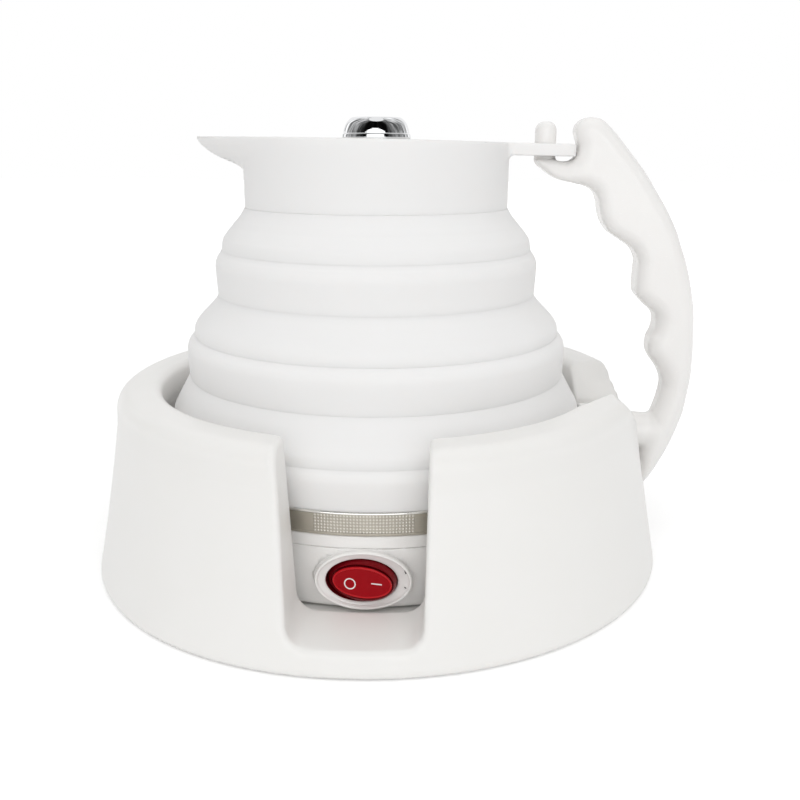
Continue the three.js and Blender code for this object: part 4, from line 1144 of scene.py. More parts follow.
    def set_cloth(self) -> None:
        """Hangs a dark cloth with a round window behind the camera, which only reflections see."""
        step, half = self.cloth_step, self.cloth_step / 2
        turns = np.arange(-self.cloth_turn, self.cloth_turn + half, step)
        tips = np.arange(self.cloth_tips[0], self.cloth_tips[1] + half, step)
        points = [(math.sin(turn), -math.cos(turn), math.tan(tip))
                  for tip in np.radians(tips) for turn in np.radians(turns)]
        points = np.array(points) * self.cloth_radius + [0, 0, self.cloth_level]
        wide, tall = self.cloth_window
        columns = len(turns)
        kept = [row * columns + column
                for row, tip in enumerate(tips[:-1]) for column, turn in enumerate(turns[:-1])
                if math.hypot((turn + half) / wide, (tip + half) / tall) > 1]
        faces = [(n, n + 1, n + 1 + columns, n + columns) for n in kept]
        cloth = mesh_object("dark_flag", points, faces)
        cloth.data.materials.append(self.cloth_material())
        cloth.visible_camera = False
        cloth.visible_diffuse = False
        cloth.visible_transmission = False
        cloth.visible_shadow = False

    def build(self) -> None:
        """Sets up the studio."""
        self.set_world()
        self.set_lamps()
        self.set_floor()
        self.set_cloth()


@dataclass
class Cradle:
    """The ring that the kettle stands in, its base plate and screws.

    The outer side leans a little sideways and its foot has a lobe, as the real one's has. The
    notch for the handle opens outwards, and the post in front of it ends in a rounded nose.
    """

    height: float = 61.8
    well_radius: float = 75.0
    shoulder_radius: float = 90.3
    flare: float = 9.25
    flare_bend: float = 0.12
    sideways: Pair = (0.55, 0.9)
    foot_lobe: Triple = (3.0, -128.0, 38.0)
    lean_start: float = 77.0
    lean_run: float = 8.0
    outer_round: float = 6.5
    inner_round: float = 3.0
    lift: float = 0.3
    plate_room: float = 2.5
    plate_radius: float = 95.9
    plate_thickness: float = 2.2
    plate_gap: float = 0.4
    floor_top: float = 5.6
    edge_round: float = 1.7
    core: float = 30.0
    past_rim: float = 12.0
    sill: float = 8.0
    slot_left: Pair = (-21.9, -18.8)
    slot_right: Pair = (19.9, 18.85)
    slot_corner: float = 5.5
    notch_side: tuple = ((14.0, 28.5, 6.0), (14.3, 50.5, 3.0), (20.8, 61.8, 0.0))
    notch_round: float = 1.0
    opening: Triple = (76.5, 13.0, 0.0225)
    opening_level: float = 47.0
    nose_tip: float = 80.2
    nose_chamfer: float = 1.3
    nose_side: float = 7.0
    nose_shoulder: float = 20.0
    nose_level: float = 52.0
    nose_end: Pair = (0.97, 1.2)
    level_run: float = 9.0
    wall_lean: float = 0.17
    wall_end: float = 0.1
    rear_rise: Pair = (0.9, 0.6)
    rise_reach: Pair = (45.0, 80.0)
    arch: Triple = (15.0, 29.0, 9.0)
    screw_circle: float = 79.7
    # Head radius and height, lowest point and length
    screw: tuple = (3.2, 1.6, 0.15, 12.0)
    sink: tuple = ((0, -1), (3.6, -1), (3.6, 0.15), (1.7, 1.85), (1.7, 3), (0, 3))
    side_room: float = 2.5
    rim_room: float = 1.6
    facet: float = 1.3

    def side_radius(self, height: float) -> float:
        """The outer radius of the flared side at a height."""
        share = 1 - height / (self.height - self.outer_round)
        return self.shoulder_radius + self.flare * share * (1 + self.flare_bend * (share - 1))

    def section(self) -> Outline:
        """The cradle's section, as a distance.

        Returns:
            The outline of radius and height.
        """
        steps = 12
        top = self.height - self.outer_round
        side = [(self.side_radius(top * n / steps), top * n / steps, 0) for n in range(1, steps)]
        ledge = self.plate_radius + self.plate_gap
        corners = [
            (-self.core, self.plate_room, 0), (ledge, self.plate_room, 0.4),
            (ledge, self.lift, 0.3), (self.side_radius(0), self.lift, 2.2), *side,
            (self.shoulder_radius, self.height, self.outer_round),
            (self.well_radius, self.height, self.inner_round),
            (self.well_radius, self.floor_top, 1.2), (-self.core, self.floor_top, 0),
        ]
        return Outline(rounded(corners, 8), step=0.35)

    def slot_outline(self) -> Outline:
        """The front slot: open at the rim, with slanted sides and round lower corners.

        Returns:
            The slot's outline across and up.
        """
        high = self.height + self.past_rim
        share = (high - self.sill) / (self.height - self.sill)
        left, right = [low + (top - low) * share for top, low in (self.slot_left, self.slot_right)]
        return Outline(rounded([
            (self.slot_left[1], self.sill, self.slot_corner),
            (self.slot_right[1], self.sill, self.slot_corner), (right, high, 0), (left, high, 0)],
            10))

    def notch_outline(self) -> Outline:
        """The handle's notch: steep at the tower, wide open at the rim.

        Returns:
            The notch's outline across and up.
        """
        _, (half, level, _), (wide, top, _) = self.notch_side
        slope = (wide - half) / (top - level)
        right = [*self.notch_side[:2], (wide + slope * self.past_rim, top + self.past_rim, 0.0)]
        left = [(-half, level, corner) for half, level, corner in right]
        return Outline(rounded([*right, *left[::-1]], 10))

    def pushed(self, x: Grid, y: Grid, z: Grid) -> Grid:
        """The radius at which the round section is read, which makes the outer side lean.

        Args:
            x: places across.
            y: places in depth.
            z: heights.

        Returns:
            The radius of each place in the round section.
        """
        radius, angle = np.hypot(x, y), np.degrees(np.arctan2(y, x))
        low = np.clip(1 - z / self.height, 0, 1)
        lobe, middle, spread = self.foot_lobe
        apart = (angle - middle + 180) % 360 - 180
        move = (self.sideways[0] + self.sideways[1] * low) * np.cos(np.radians(angle))
        move = move + lobe * low * low * np.exp(-(apart / spread) ** 2)
        return radius - move * eased(np.clip((radius - self.lean_start) / self.lean_run, 0, 1))

    def rise(self, x: Grid, y: Grid, z: Grid) -> Grid:
        """How far the side stands higher than the plain section, towards the back of the rim.

        Args:
            x: places across.
            y: places in depth.
            z: heights.

        Returns:
            The extra height of each place.
        """
        even, rightward = self.rear_rise
        back_reach, side_reach = self.rise_reach
        share = np.clip(z / self.height, 0, 1)
        back = np.clip(y / back_reach, 0, 1)
        return back * (even + rightward * x / side_reach) * share * share

    def nose(self, x: Grid, z: Grid) -> Grid:
        """How far the nose of the front post stands back from the notch's outline.

        Args:
            x: places across.
            z: heights.

        Returns:
            The distance that the notch is wider by on its front side.
        """
        top = self.height - self.outer_round
        bend = np.clip(z - top, 0, self.outer_round - self.wall_end)
        wall = np.sqrt(self.outer_round ** 2 - bend ** 2) + self.shoulder_radius - self.outer_round
        wall = wall + np.maximum(top - z, 0) * self.wall_lean
        end, most = self.nose_end
        across = np.clip((x - self.nose_tip) / (end * wall - self.nose_tip), 0, most)
        high = np.clip((z - self.nose_level) / self.level_run, 0, 1)
        chamfer = self.nose_chamfer * np.clip(self.nose_tip - x, 0, self.past_rim)
        return across * (self.nose_side * across + self.nose_shoulder * high) + chamfer

    def notch_place(self, x: Grid, y: Grid, z: Grid) -> Grid:
        """The place along Y at which the notch's outline is read.

        Args:
            x: places across.
            y: places in depth.
            z: heights.

        Returns:
            Each place, drawn to the middle where the notch is wider than its outline.
        """
        inner, run, widening = self.opening
        high = np.clip((z - self.opening_level) / self.level_run, 0, 1)
        behind = y * (1 - widening * np.clip(x - inner, 0, run) * high)
        return np.where(y < 0, np.minimum(y + self.nose(x, z), 0), behind)

    def build_shell(self) -> None:
        """Makes the moulded ring with its three openings."""
        section, slot, notch = self.section(), self.slot_outline(), self.notch_outline()
        half, top, corner = self.arch
        arch = Outline(rounded([(-half, self.sill, 1), (half, self.sill, 1), (half, top, corner),
                                (-half, top, corner)], 10))
        core = self.core

        def solid(x: Grid, y: Grid, z: Grid) -> Grid:
            """Distance to the shell.

            Args:
                x: places across.
                y: places in depth.
                z: heights.

            Returns:
                The distance of each place.
            """
            shell = section(self.pushed(x, y, z), z - self.rise(x, y, z))
            shell = carve(shell, np.maximum(slot(x, z), y + core), self.edge_round)
            gap = notch(self.notch_place(x, y, z), z)
            shell = carve(shell, np.maximum(gap, core - x), self.notch_round)
            return carve(shell, np.maximum(arch(x, z), core - y), self.edge_round)

        reach = self.side_radius(0) + self.side_room
        shell = sculpted("cradle_ring", solid, (-reach, -reach, self.lift),
                         (reach, reach, self.height + self.rim_room), self.facet)
        settle(shell, Finishes.cradle, Body.CRADLE, ("cradle_shell",))

    def build_plate(self) -> None:
        """Makes the plate that closes the ring underneath, sunk for its screws."""
        wide, thick = self.plate_radius, self.plate_thickness
        edge = [(0, 0, 0), (wide, 0, 0.5), (wide, thick, 0.3), (0, thick, 0)]
        plate = turned("cradle_plate", rounded(edge, 3), 120)
        cut_from(plate, four_round("sinks", turned("sink", self.sink, 24), self.screw_circle))
        settle(plate, Finishes.cradle, Body.CRADLE, ("cradle_base_plate",))

    def build_screws(self) -> None:
        """Sets the countersunk screws in the plate."""
        screw = cross_screw("cradle_screw", *self.screw, sunk=True)
        screws = four_round("cradle_screws", screw, self.screw_circle, Finishes.zinc)
        settle(screws, None, Body.CRADLE,
               tuple(f"cradle_screw_{n}" for n in QUARTERS))

    def build(self) -> None:
        """Builds the whole cradle."""
        self.build_shell()
        self.build_plate()
        self.build_screws()


def cross_screw(name: str, head: float, head_height: float, low: float, length: float,
                sunk: bool) -> Object:
    """A screw that points up, with a cross recess underneath.

    Args:
        name: the part's name.
        head: the head's radius.
        head_height: the head's height.
        low: the height of the head's lower face.
        length: the whole length.
        sunk: whether the head is countersunk.

    Returns:
        The screw, standing on the axis.
    """
    shank, pitch, thread = 1.3, 1.1, 0.25
    edge, crown, plain, last_turn, point, tip = 0.3, 0.1, 0.6, 1.2, 0.9, 0.3
    top = low + length
    outline = [(0, low), (head - edge, low), (head, low + 0.25)]
    if not sunk:
        outline.append((head, low + head_height - crown))
    outline.append((shank, low + head_height))
    height = low + head_height + plain
    while height < top - last_turn:
        outline += [(shank, height), (shank + thread, height + pitch * 0.3),
                    (shank, height + pitch * 0.6)]
        height += pitch
    outline += [(shank, top - point), (tip, top), (0, top)]
    screw = turned(name, outline, 20)
    arm, thin, below, deep, taper = 2.0, 0.32, 1.0, 1.1, 0.7
    for wide, tall in ((arm, thin), (thin, arm)):
        box = [(-wide, -tall), (wide, -tall), (wide, tall), (-wide, tall)]
        cut_from(screw, lofted("recess", [
            np.array([(x * share, y * share, z) for x, y in box])
            for z, share in ((low - below, 1.0), (low + deep, taper))]))
    return screw


@dataclass
class KettleBase:
    """The base that lifts out of the cradle: housing, collar, hoop, cover, pan and inlet."""

    radius: float = 70.6
    wall: float = 2.4
    bottom: float = 6.3
    top: float = 25.8
    toe: float = 1.5
    pad: Pair = (14.6, 9.4)
    pad_face: float = 70.75
    pad_back: float = 65.8
    boss_place: float = 46.1
    switch_height: float = 16.2
    switch_hole: Pair = (12.1, 8.35)
    inlet_height: float = 16.6
    inlet_half: Pair = (10.0, 5.5)
    inlet_rim: float = 1.8
    tower_inner: float = 72.45
    tower_wall: float = 2.2
    tower_face: float = 83.05
    tower_half: float = 12.5
    tower_boss: float = 9.0
    tower_low: float = 9.0
    tower_foot: float = 29.7
    tower_waist: float = 44.0
    tower_fillet: float = 1.0
    tower_edge: float = 1.2
    pivot: float = 43.0
    bore: float = 4.2
    pocket: Pair = (5.7, 76.05)
    boss: Triple = (3.3, 9.8, 21.8)
    rim_edge: float = 0.35
    pad_edge: float = 0.2
    hole_edge: float = 0.3
    hole_core: float = 20.0
    tower_core: float = 60.0
    box_room: float = 0.2
    ring_inner: float = 63.6
    part_line: float = 0.02
    hoop_radius: float = 70.9
    hoop: Pair = (29.9, 37.5)
    hoop_gap: float = 0.1
    hoop_sheet: float = 0.7
    hoop_face: float = 0.15
    hoop_lip: float = 0.05
    lip_heights: Pair = (0.8, 1.05)
    hoop_drop: float = 0.2
    bead: Triple = (0.08, 0.42, 0.5)
    pan_radius: float = 68.5
    pan_span: Pair = (31.2, 42.2)
    pan_sheet: float = 0.7
    pip: tuple = ((0, 0.16), (0.2, 0.14), (0.36, 0.05), (0.4, -0.05), (0, -0.05))
    pip_columns: int = 31
    pip_rows: int = 6
    pip_patch: Pair = (29.4, 4.9)
    pips_shift: float = 0.7
    cover_radius: float = 67.6
    cover_span: Pair = (7.3, 9.5)
    cover_cut: Triple = (12.4, -80.0, -56.6)
    sink: tuple = ((0, 6), (3.0, 6), (3.0, 9.2), (1.6, 9.2), (1.6, 11), (0, 11))
    screw_circle: float = 65.2
    screw: tuple = (2.7, 1.4, 7.6, 11.6)
    foot: tuple = ((0, 5.9, 0), (5, 5.9, 0.4), (5, 7.05, 0.15), (0, 7.05, 0))
    foot_circle: float = 56.0
    inlet_rows: tuple = (
        (0, 57.6), (0, 70.6), (0, 70.95), (1.8, 70.95), (1.8, 72.1), (1.7, 72.4), (1.4, 72.6),
        (1.0, 72.65), (-0.7, 72.65), (-1.2, 72.5), (-1.5, 72.1), (-1.5, 71.0), (-1.5, 62.9),
        (-1.7, 62.65))
    pin_rows: tuple = ((1.2, 53.7), (1.2, 70.0), (1.0, 70.7), (0.5, 71.05))
    pin_place: float = 4.3
    facet: float = 1.05

    def build_housing(self) -> None:
        """Makes the moulded housing with its tower, bosses and openings."""
        bow = np.linspace(0.12, math.pi - 0.12, 19)
        tower_side = Outline(rounded([
            (-self.tower_half, self.tower_foot, 2), (self.tower_half, self.tower_foot, 2),
            (self.tower_boss, self.tower_waist, 0),
            *[(self.tower_boss * math.cos(a), self.pivot + self.tower_boss * math.sin(a), 0)
              for a in bow],
            (-self.tower_boss, self.tower_waist, 0)], 6))
        inner = self.radius - self.wall
        outer_tower = self.tower_inner + self.tower_wall
        width, tall = self.inlet_half
        boss_radius, boss_low, boss_high = self.boss
        bosses = [(self.boss_place * a, self.boss_place * b) for a in (-1, 1) for b in (-1, 1)]
        pocket_radius, pocket_end = self.pocket

        def stadium(x: Grid, z: Grid, grow: float) -> Grid:
            """Distance to the inlet's outline."""
            along = np.maximum(np.abs(x) - (width - tall), 0)
            return np.hypot(along, z - self.inlet_height) - tall - grow

        def body(x: Grid, y: Grid, z: Grid) -> Grid:
            """Distance to the round wall with its two pads.

            Args:
                x: places across.
                y: places in depth.
                z: heights.

            Returns:
                The distance of each place.
            """
            radius = np.hypot(x, y)
            shell = meet(radius - self.radius, self.bottom - z, self.toe)
            shell = np.maximum(meet(shell, z - self.top, self.rim_edge), inner - radius)
            switch = oval_distance(x, z - self.switch_height, *self.pad)
            for outline, forward in ((switch, -y), (stadium(x, z, self.inlet_rim), y)):
                pad = meet(outline, forward - self.pad_face, self.pad_edge)
                shell = np.minimum(shell, np.maximum(pad, self.pad_back - forward))
            return shell

        def tower(x: Grid, y: Grid, z: Grid) -> Grid:
            """Distance to the tower that carries the handle.

            Args:
                x: places across.
                y: places in depth.
                z: heights.

            Returns:
                The distance of each place.
            """
            radius = np.hypot(x, y)
            foot = np.maximum(radius - outer_tower, self.tower_low - z)
            foot = np.maximum(np.maximum(foot, z - self.tower_waist), np.abs(y) - self.tower_half)
            foot = np.maximum(foot, np.maximum(inner - radius, -x))
            upper = meet(tower_side(y, z), x - self.tower_face, self.tower_edge)
            whole = blend_in(foot, np.maximum(upper, self.tower_core - x), self.tower_fillet)
            room = np.maximum(radius - self.tower_inner, self.top - z)
            return carve(whole, room, self.pad_edge)

        def solid(x: Grid, y: Grid, z: Grid) -> Grid:
            """Distance to the housing.

            Args:
                x: places across.
                y: places in depth.
                z: heights.

            Returns:
                The distance of each place.
            """
            shell = np.minimum(body(x, y, z), tower(x, y, z))
            for boss_x, boss_y in bosses:
                boss = tube_distance(x - boss_x, y - boss_y, z, boss_radius, boss_low, boss_high)
                shell = np.minimum(shell, boss)
            hole = oval_distance(x, z - self.switch_height, *self.switch_hole)
            shell = carve(shell, np.maximum(hole, y + self.hole_core), self.hole_edge)
            hole = stadium(x, z, self.hole_edge)
            shell = carve(shell, np.maximum(hole, self.hole_core - y), self.hole_edge)
            around = np.hypot(y, z - self.pivot)
            bore = np.maximum(around - self.bore, self.tower_core - x)
            pocket = np.maximum(around - pocket_radius,
                                np.maximum(self.tower_core - x, x - pocket_end))
            return np.maximum(shell, -np.minimum(bore, pocket))

        reach = self.radius + self.box_room
        housing = sculpted("kettle_housing", solid, (-reach, -reach, self.bottom),
                           (self.tower_face, reach, self.pivot + self.tower_boss), self.facet)
        settle(housing, Finishes.housing, Body.BASE, ("base_housing",))

    def build_rings(self) -> None:
        """Makes the collar, the steel hoop with its rolled edges, a bead along the hoop's top in a
        brighter steel colour that is a painted highlight, and the pan.
        """
        low, high = self.hoop
        start, end = self.top + self.part_line, low - self.hoop_gap
        collar = turned("kettle_collar", rounded([
            (self.ring_inner, start, 0.3), (self.radius, start, 0.3), (self.radius, end, 0.5),
            (self.ring_inner, end, 0.3)], 4))
        settle(collar, Finishes.housing, Body.BASE, ("base_collar",))
        inner, face = self.hoop_radius - self.hoop_sheet, self.hoop_radius - self.hoop_face
        lip, top = self.hoop_radius + self.hoop_lip, high - self.hoop_drop
        lip_top, lip_end = [low + height for height in self.lip_heights]
        hoop = turned("steel_hoop", rounded([
            (inner, low, 0.15), (lip, low, 0.35), (lip, lip_top, 0.3), (face, lip_end, 0.2),
            (face, top, 0.1), (inner, top, 0.15)], 4), 200)
        settle(hoop, Finishes.brushed, Body.BASE, ("clamp_hoop",))
        # A bead along the hoop's top: its brighter steel colour is a painted highlight line
        out, down, thick = self.bead
        bead = turned("hoop_bead", [
            (self.hoop_radius + out + thick * math.cos(a), high - down + thick * math.sin(a))
            for a in round_angles(12)], 200)
        settle(bead, Finishes.rolled, Body.BASE)
        low, high = self.pan_span
        wide, sheet = self.pan_radius, self.pan_sheet
        pan = turned("steel_pan", rounded([
            (0, low, 0), (wide, low, 2.5), (wide, high, 0.25), (wide - sheet, high, 0.25),
            (wide - sheet, low + sheet, 1.9), (0, low + sheet, 0)], 6))
        settle(pan, Finishes.pan, Body.BASE, ("pan",))

    def build_pips(self) -> None:
        """Stamps the patch of small pips on the front of the hoop."""
        pip = turned("pip", self.pip, 8)
        middle = sum(self.hoop) / 2 - self.hoop_face
        width, height = self.pip_patch
        # The pips' brighter steel colour paints highlights on them
        pips = grown("hoop_pips", pips_tree(), {
            "Pip": pip, "Columns": self.pip_columns, "Rows": self.pip_rows,
            "Width": width * MM, "Height": height * MM,
            "Radius": (self.hoop_radius - self.hoop_face) * MM, "Middle": middle * MM,
            "Finish": Finishes.pips.material()})
        bpy.data.objects.remove(pip)
        pips.data.transform(Matrix.Rotation(self.pips_shift / self.hoop_radius, 4, "Z"))
        settle(pips, None, Body.BASE)

    def build_underside(self) -> None:
        """Makes the cover, its screws and the pads that the kettle stands on."""
        low, high = self.cover_span
        cover = turned("base_lid", rounded([
            (0, low, 0), (self.cover_radius, low, 0.5), (self.cover_radius, high, 0.3),
            (0, high, 0)], 3), 120)
        cut_from(cover, four_round("sinks", turned("sink", self.sink, 24), self.screw_circle))
        half, front, back = self.cover_cut
        corners = ((-half, front), (half, front), (half, back), (-half, back))
        cut_from(cover, lofted("relief", [
            np.array([(x, y, z) for x, y in corners])
            for z in (self.sink[0][1], self.sink[-1][1])]))
        settle(cover, Finishes.housing, Body.BASE, ("base_cover",))
        screw = cross_screw("base_screw", *self.screw, sunk=False)
        screws = four_round("base_screws", screw, self.screw_circle, Finishes.zinc)
        settle(screws, None, Body.BASE, tuple(f"base_screw_{n}" for n in QUARTERS))
        foot = turned("foot", rounded(self.foot, 3), 32)
        feet = four_round("base_feet", foot, self.foot_circle, Finishes.rubber, 0.0)
        settle(feet, None, Body.BASE, tuple(f"base_foot_{n}" for n in QUARTERS))

    def build_inlet(self) -> None:
        """Makes the two-pin power inlet at the back."""
        height = self.inlet_height
        width, tall = self.inlet_half
        inlet = lofted("inlet_body", [stadium_ring(width + grow, tall + grow, depth, height)
                                      for grow, depth in self.inlet_rows])
        settle(inlet, Finishes.nylon, Body.BASE, ("power_inlet",))
        for number, side in ((1, -1), (2, 1)):
            place = np.array([side * self.pin_place, 0, 0])
            pin = lofted(f"contact_pin_{number}", [
                oval_ring(radius, radius, depth, height, 20) + place
                for radius, depth in self.pin_rows])
            settle(pin, Finishes.brass, Body.BASE, (f"inlet_pin_{number}",))

    def build(self, frame: dict) -> None:
        """Builds the whole base.

        Args:
            frame: the loaded frame.
        """
        self.build_housing()
        self.build_rings()
        self.build_pips()
        self.build_underside()
        self.build_inlet()
        dress(frame, {
            "heat_spreader": Finishes.aluminium, "heating_element": Finishes.zinc,
            "thermostat": Finishes.nylon, "thermostat_strap": Finishes.zinc,
            "strap_screw_1": Finishes.zinc, "strap_screw_2": Finishes.zinc,
            "thermal_fuse": Finishes.acetal, "switch_tag_1": Finishes.brass,
            "switch_tag_2": Finishes.brass, "lead_live": Finishes.sleeve,
            "lead_neutral": Finishes.sleeve, "lead_heater": Finishes.sleeve})


@dataclass
class RockerSwitch:
    """The oval switch: bezel with a raised lip, red rocker, and its printed marks."""

    height: float = 16.2
    pivot_depth: float = -69.75
    tilt: float = 10.0
    bezel: Pair = (14.6, 9.4)
    bezel_shift: float = 0.58
    well: Pair = (10.85, 6.98)
    well_drop: float = 0.42
    lean: float = 0.265
    off_mark: Triple = (-3.74, -0.65, 1.62)
    on_mark: Triple = (4.42, 0.1, 1.65)
    stroke: float = 0.185
    mark_lift: Pair = (-0.05, 0.03)
    # Each row of an oval: half its width, half its height, and how far it stands forward
    barrel: Pair = (11.9, 8.1)
    body_rows: tuple = (
        (9.5, 6.0, -6.0), (9.8, 6.3, -5.0), (10.5, 6.68, -1.0), (10.68, 6.76, 0.35),
        (10.4, 6.68, 1.1), (10.12, 6.48, 1.7), (9.92, 6.22, 2.15), (9.76, 5.95, 2.5),
        (9.65, 5.7, 2.75), (9.6, 5.55, 2.82), (9.57, 5.47, 2.7), (9.55, 5.43, 2.3),
        (9.53, 5.41, 1.8), (9.1, 4.96, 1.8), (9.06, 4.92, 3.2))
    drop_end: float = 3.0
    rim_rows: tuple = (
        (8.8, 4.6, 2.6), (9.08, 4.88, 3.2), (9.12, 4.92, 3.75), (9.06, 4.86, 3.98),
        (8.92, 4.72, 4.06), (8.75, 4.56, 4.04), (8.65, 4.47, 3.95), (8.55, 4.38, 3.86),
        (8.45, 4.3, 3.5))
    face_edge: tuple = ((8.66, 4.48, 3.3), (8.66, 4.48, 3.88), (8.3, 4.2, 3.86))
    face_rows: tuple = ((8.8, 4.6, 4.0), (8.3, 4.2, 3.94), (6.3, 3.15, 3.82), (3.4, 1.6, 3.74),
                        (0.7, 0.32, 3.72))
    # Each row of the bezel: how far it stands in from the oval, or out from the well, and its Y
    barrel_depths: Pair = (-57.0, -70.9)
    barrel_drop: float = 0.1
    bezel_sharp: float = 60.0
    lip_rows: tuple = ((0, -71.0), (0, -72.1), (0.07, -72.38), (0.22, -72.56), (0.45, -72.62),
                       (0.68, -72.56), (0.86, -72.38), (0.95, -72.15), (1.02, -71.98),
                       (1.15, -71.88))
    well_rows: tuple = ((0.9, -71.45), (0.4, -71.3), (0.14, -71.15), (0.0, -70.9), (0.0, -70.3),
                        (0.0, -62.0), (-0.3, -61.6))
    # The well's painted-shade tube: how far it stands out from the well, and its Y
    well_shade_rows: tuple = ((0.06, -62.5), (0.06, -70.75), (-0.07, -70.8), (-0.1, -62.5))
    slits: tuple = ((2.5, 3.7), (-2.2, -1.85))
    slit_place: float = 13.1
    slit_bend: float = 0.36
    slit_depths: Pair = (-71.5, -72.0)

    def well_ring(self, grow: float, depth: float) -> Grid:
        """The oval of the well at a depth, wider all round by a distance."""
        wide, tall = self.well
        return oval_ring(wide + grow, tall + grow, depth, self.height - self.well_drop)

    def build_bezel(self) -> None:
        """Makes the white bezel, a thin dark red tube in its well that is painted shade round the
        rocker, and the two slits beside it as black slivers of painted shade.
        """
        wide, tall = self.bezel
        shift = np.array([self.bezel_shift, 0, 0])
        middle = self.height - self.barrel_drop
        rings = [oval_ring(*self.barrel, depth, middle) for depth in self.barrel_depths]
        rings += [oval_ring(wide - inset, tall - inset, depth, self.height) + shift
                  for inset, depth in self.lip_rows]
        rings += [self.well_ring(grow, depth) for grow, depth in self.well_rows]
        bezel = lofted("switch_bezel", rings)
        bezel.data.set_sharp_from_angle(angle=math.radians(self.bezel_sharp))
        settle(bezel, Finishes.housing, Body.BASE, ("switch_housing",))
        # A dark red tube lining the well: painted shade in the gap round the rocker
        well_shade = lofted("rocker_well", [self.well_ring(grow, depth)
                                        for grow, depth in self.well_shade_rows], closed=True)
        settle(well_shade, Finishes.acrylic_painted_shade, Body.BASE)
        place, bend = self.slit_place, self.slit_bend
        # Each slit is a black sliver laid on the bezel: painted shade where the slit opens
        for n, (low, high) in enumerate(self.slits):
            corners = ((place, low), (place + bend, low), (place, high), (place - bend, high))
            slit = lofted(f"bezel_slit_{n + 1}", [
                np.array([(x, depth, self.height + up) for x, up in corners])
                for depth in self.slit_depths])
            settle(slit, Finishes.nylon, Body.BASE)

    def in_rest(self, points: Grid) -> Grid:
        """Turns points of the level rocker to where it rests.

        Args:
            points: across, forward of the pivot and up, from the pivot.

        Returns:
            The points on the kettle.
        """
        cos, sin = math.cos(math.radians(self.tilt)), math.sin(math.radians(self.tilt))
        x, forward, up = points.T
        across = x * cos - forward * sin + self.lean * np.maximum(forward, 0)
        return np.stack([across, self.pivot_depth - (x * sin + forward * cos), self.height + up], 1)

    def face_depth(self, x: Grid, up: Grid) -> Grid:
        """How far forward the dished face stands.

        Args:
            x: across the face.
            up: up the face.

        Returns:
            The depth forward of the pivot.
        """
        wide, tall, _ = self.face_rows[0]
        rows = sorted((half / wide, forward) for half, _, forward in self.face_rows)
        return np.interp(np.hypot(x / wide, up / tall), *zip(*rows))

    def on_face(self, x: Grid, up: Grid, lift: float) -> Grid:
        """Lays points on the rocker's face.

        Args:
            x: across the face.
            up: up the face.
            lift: how far they stand off it.

        Returns:
            The points on the kettle.
        """
        return self.in_rest(np.stack([x, self.face_depth(x, up) + lift, up], 1))

    def build_rocker(self) -> None:
        """Makes the rocker: its body in a darker red that is painted shade, its rim in a brighter
        red that is a painted highlight, and its face.
        """
        # The body's darker red is painted shade
        body = lofted("rocker_body", [
            self.in_rest(oval_ring(wide, tall, forward, -self.well_drop
                                   * min(max(self.drop_end - forward, 0), 1)))
            for wide, tall, forward in self.body_rows])
        settle(body, Finishes.acrylic_painted_shade, Body.ROCKER, ("switch_rocker",))
        # The rim's brighter red is a painted highlight
        for name, finish, rows, closed in (
                ("rocker_rim", Finishes.acrylic_rim_painted_highlight, self.rim_rows, True),
                ("rocker_face", Finishes.acrylic, self.face_edge + self.face_rows[2:], False)):
            piece = lofted(name, [self.in_rest(oval_ring(wide, tall, forward, 0.0))
                                  for wide, tall, forward in rows], closed)
            settle(piece, finish, Body.ROCKER)

    def build_marks(self) -> None:
        """Makes the printed circle for off and bar for on, as thick as their ink."""
        low, high = self.mark_lift
        centre, rise, radius = self.off_mark
        angles = round_angles(48)
        circle = lofted("mark_off", [
            self.on_face(centre + (radius + grow) * np.cos(angles),
                         rise + (radius + grow) * np.sin(angles), lift)
            for grow, lift in ((-self.stroke, low), (-self.stroke, high),
                               (self.stroke, high), (self.stroke, low))], closed=True)
        middle, rise, half = self.on_mark
        across, _, up = stadium_ring(half, self.stroke, 0.0, 0.0, 24).T
        bar = lofted("mark_on", [self.on_face(across + middle, up + rise, lift)
                                 for lift in self.mark_lift])
        for mark in (circle, bar):
            settle(mark, Finishes.ink, Body.ROCKER)

    def build(self) -> None:
        """Builds the whole switch."""
        self.build_bezel()
        self.build_rocker()
        self.build_marks()


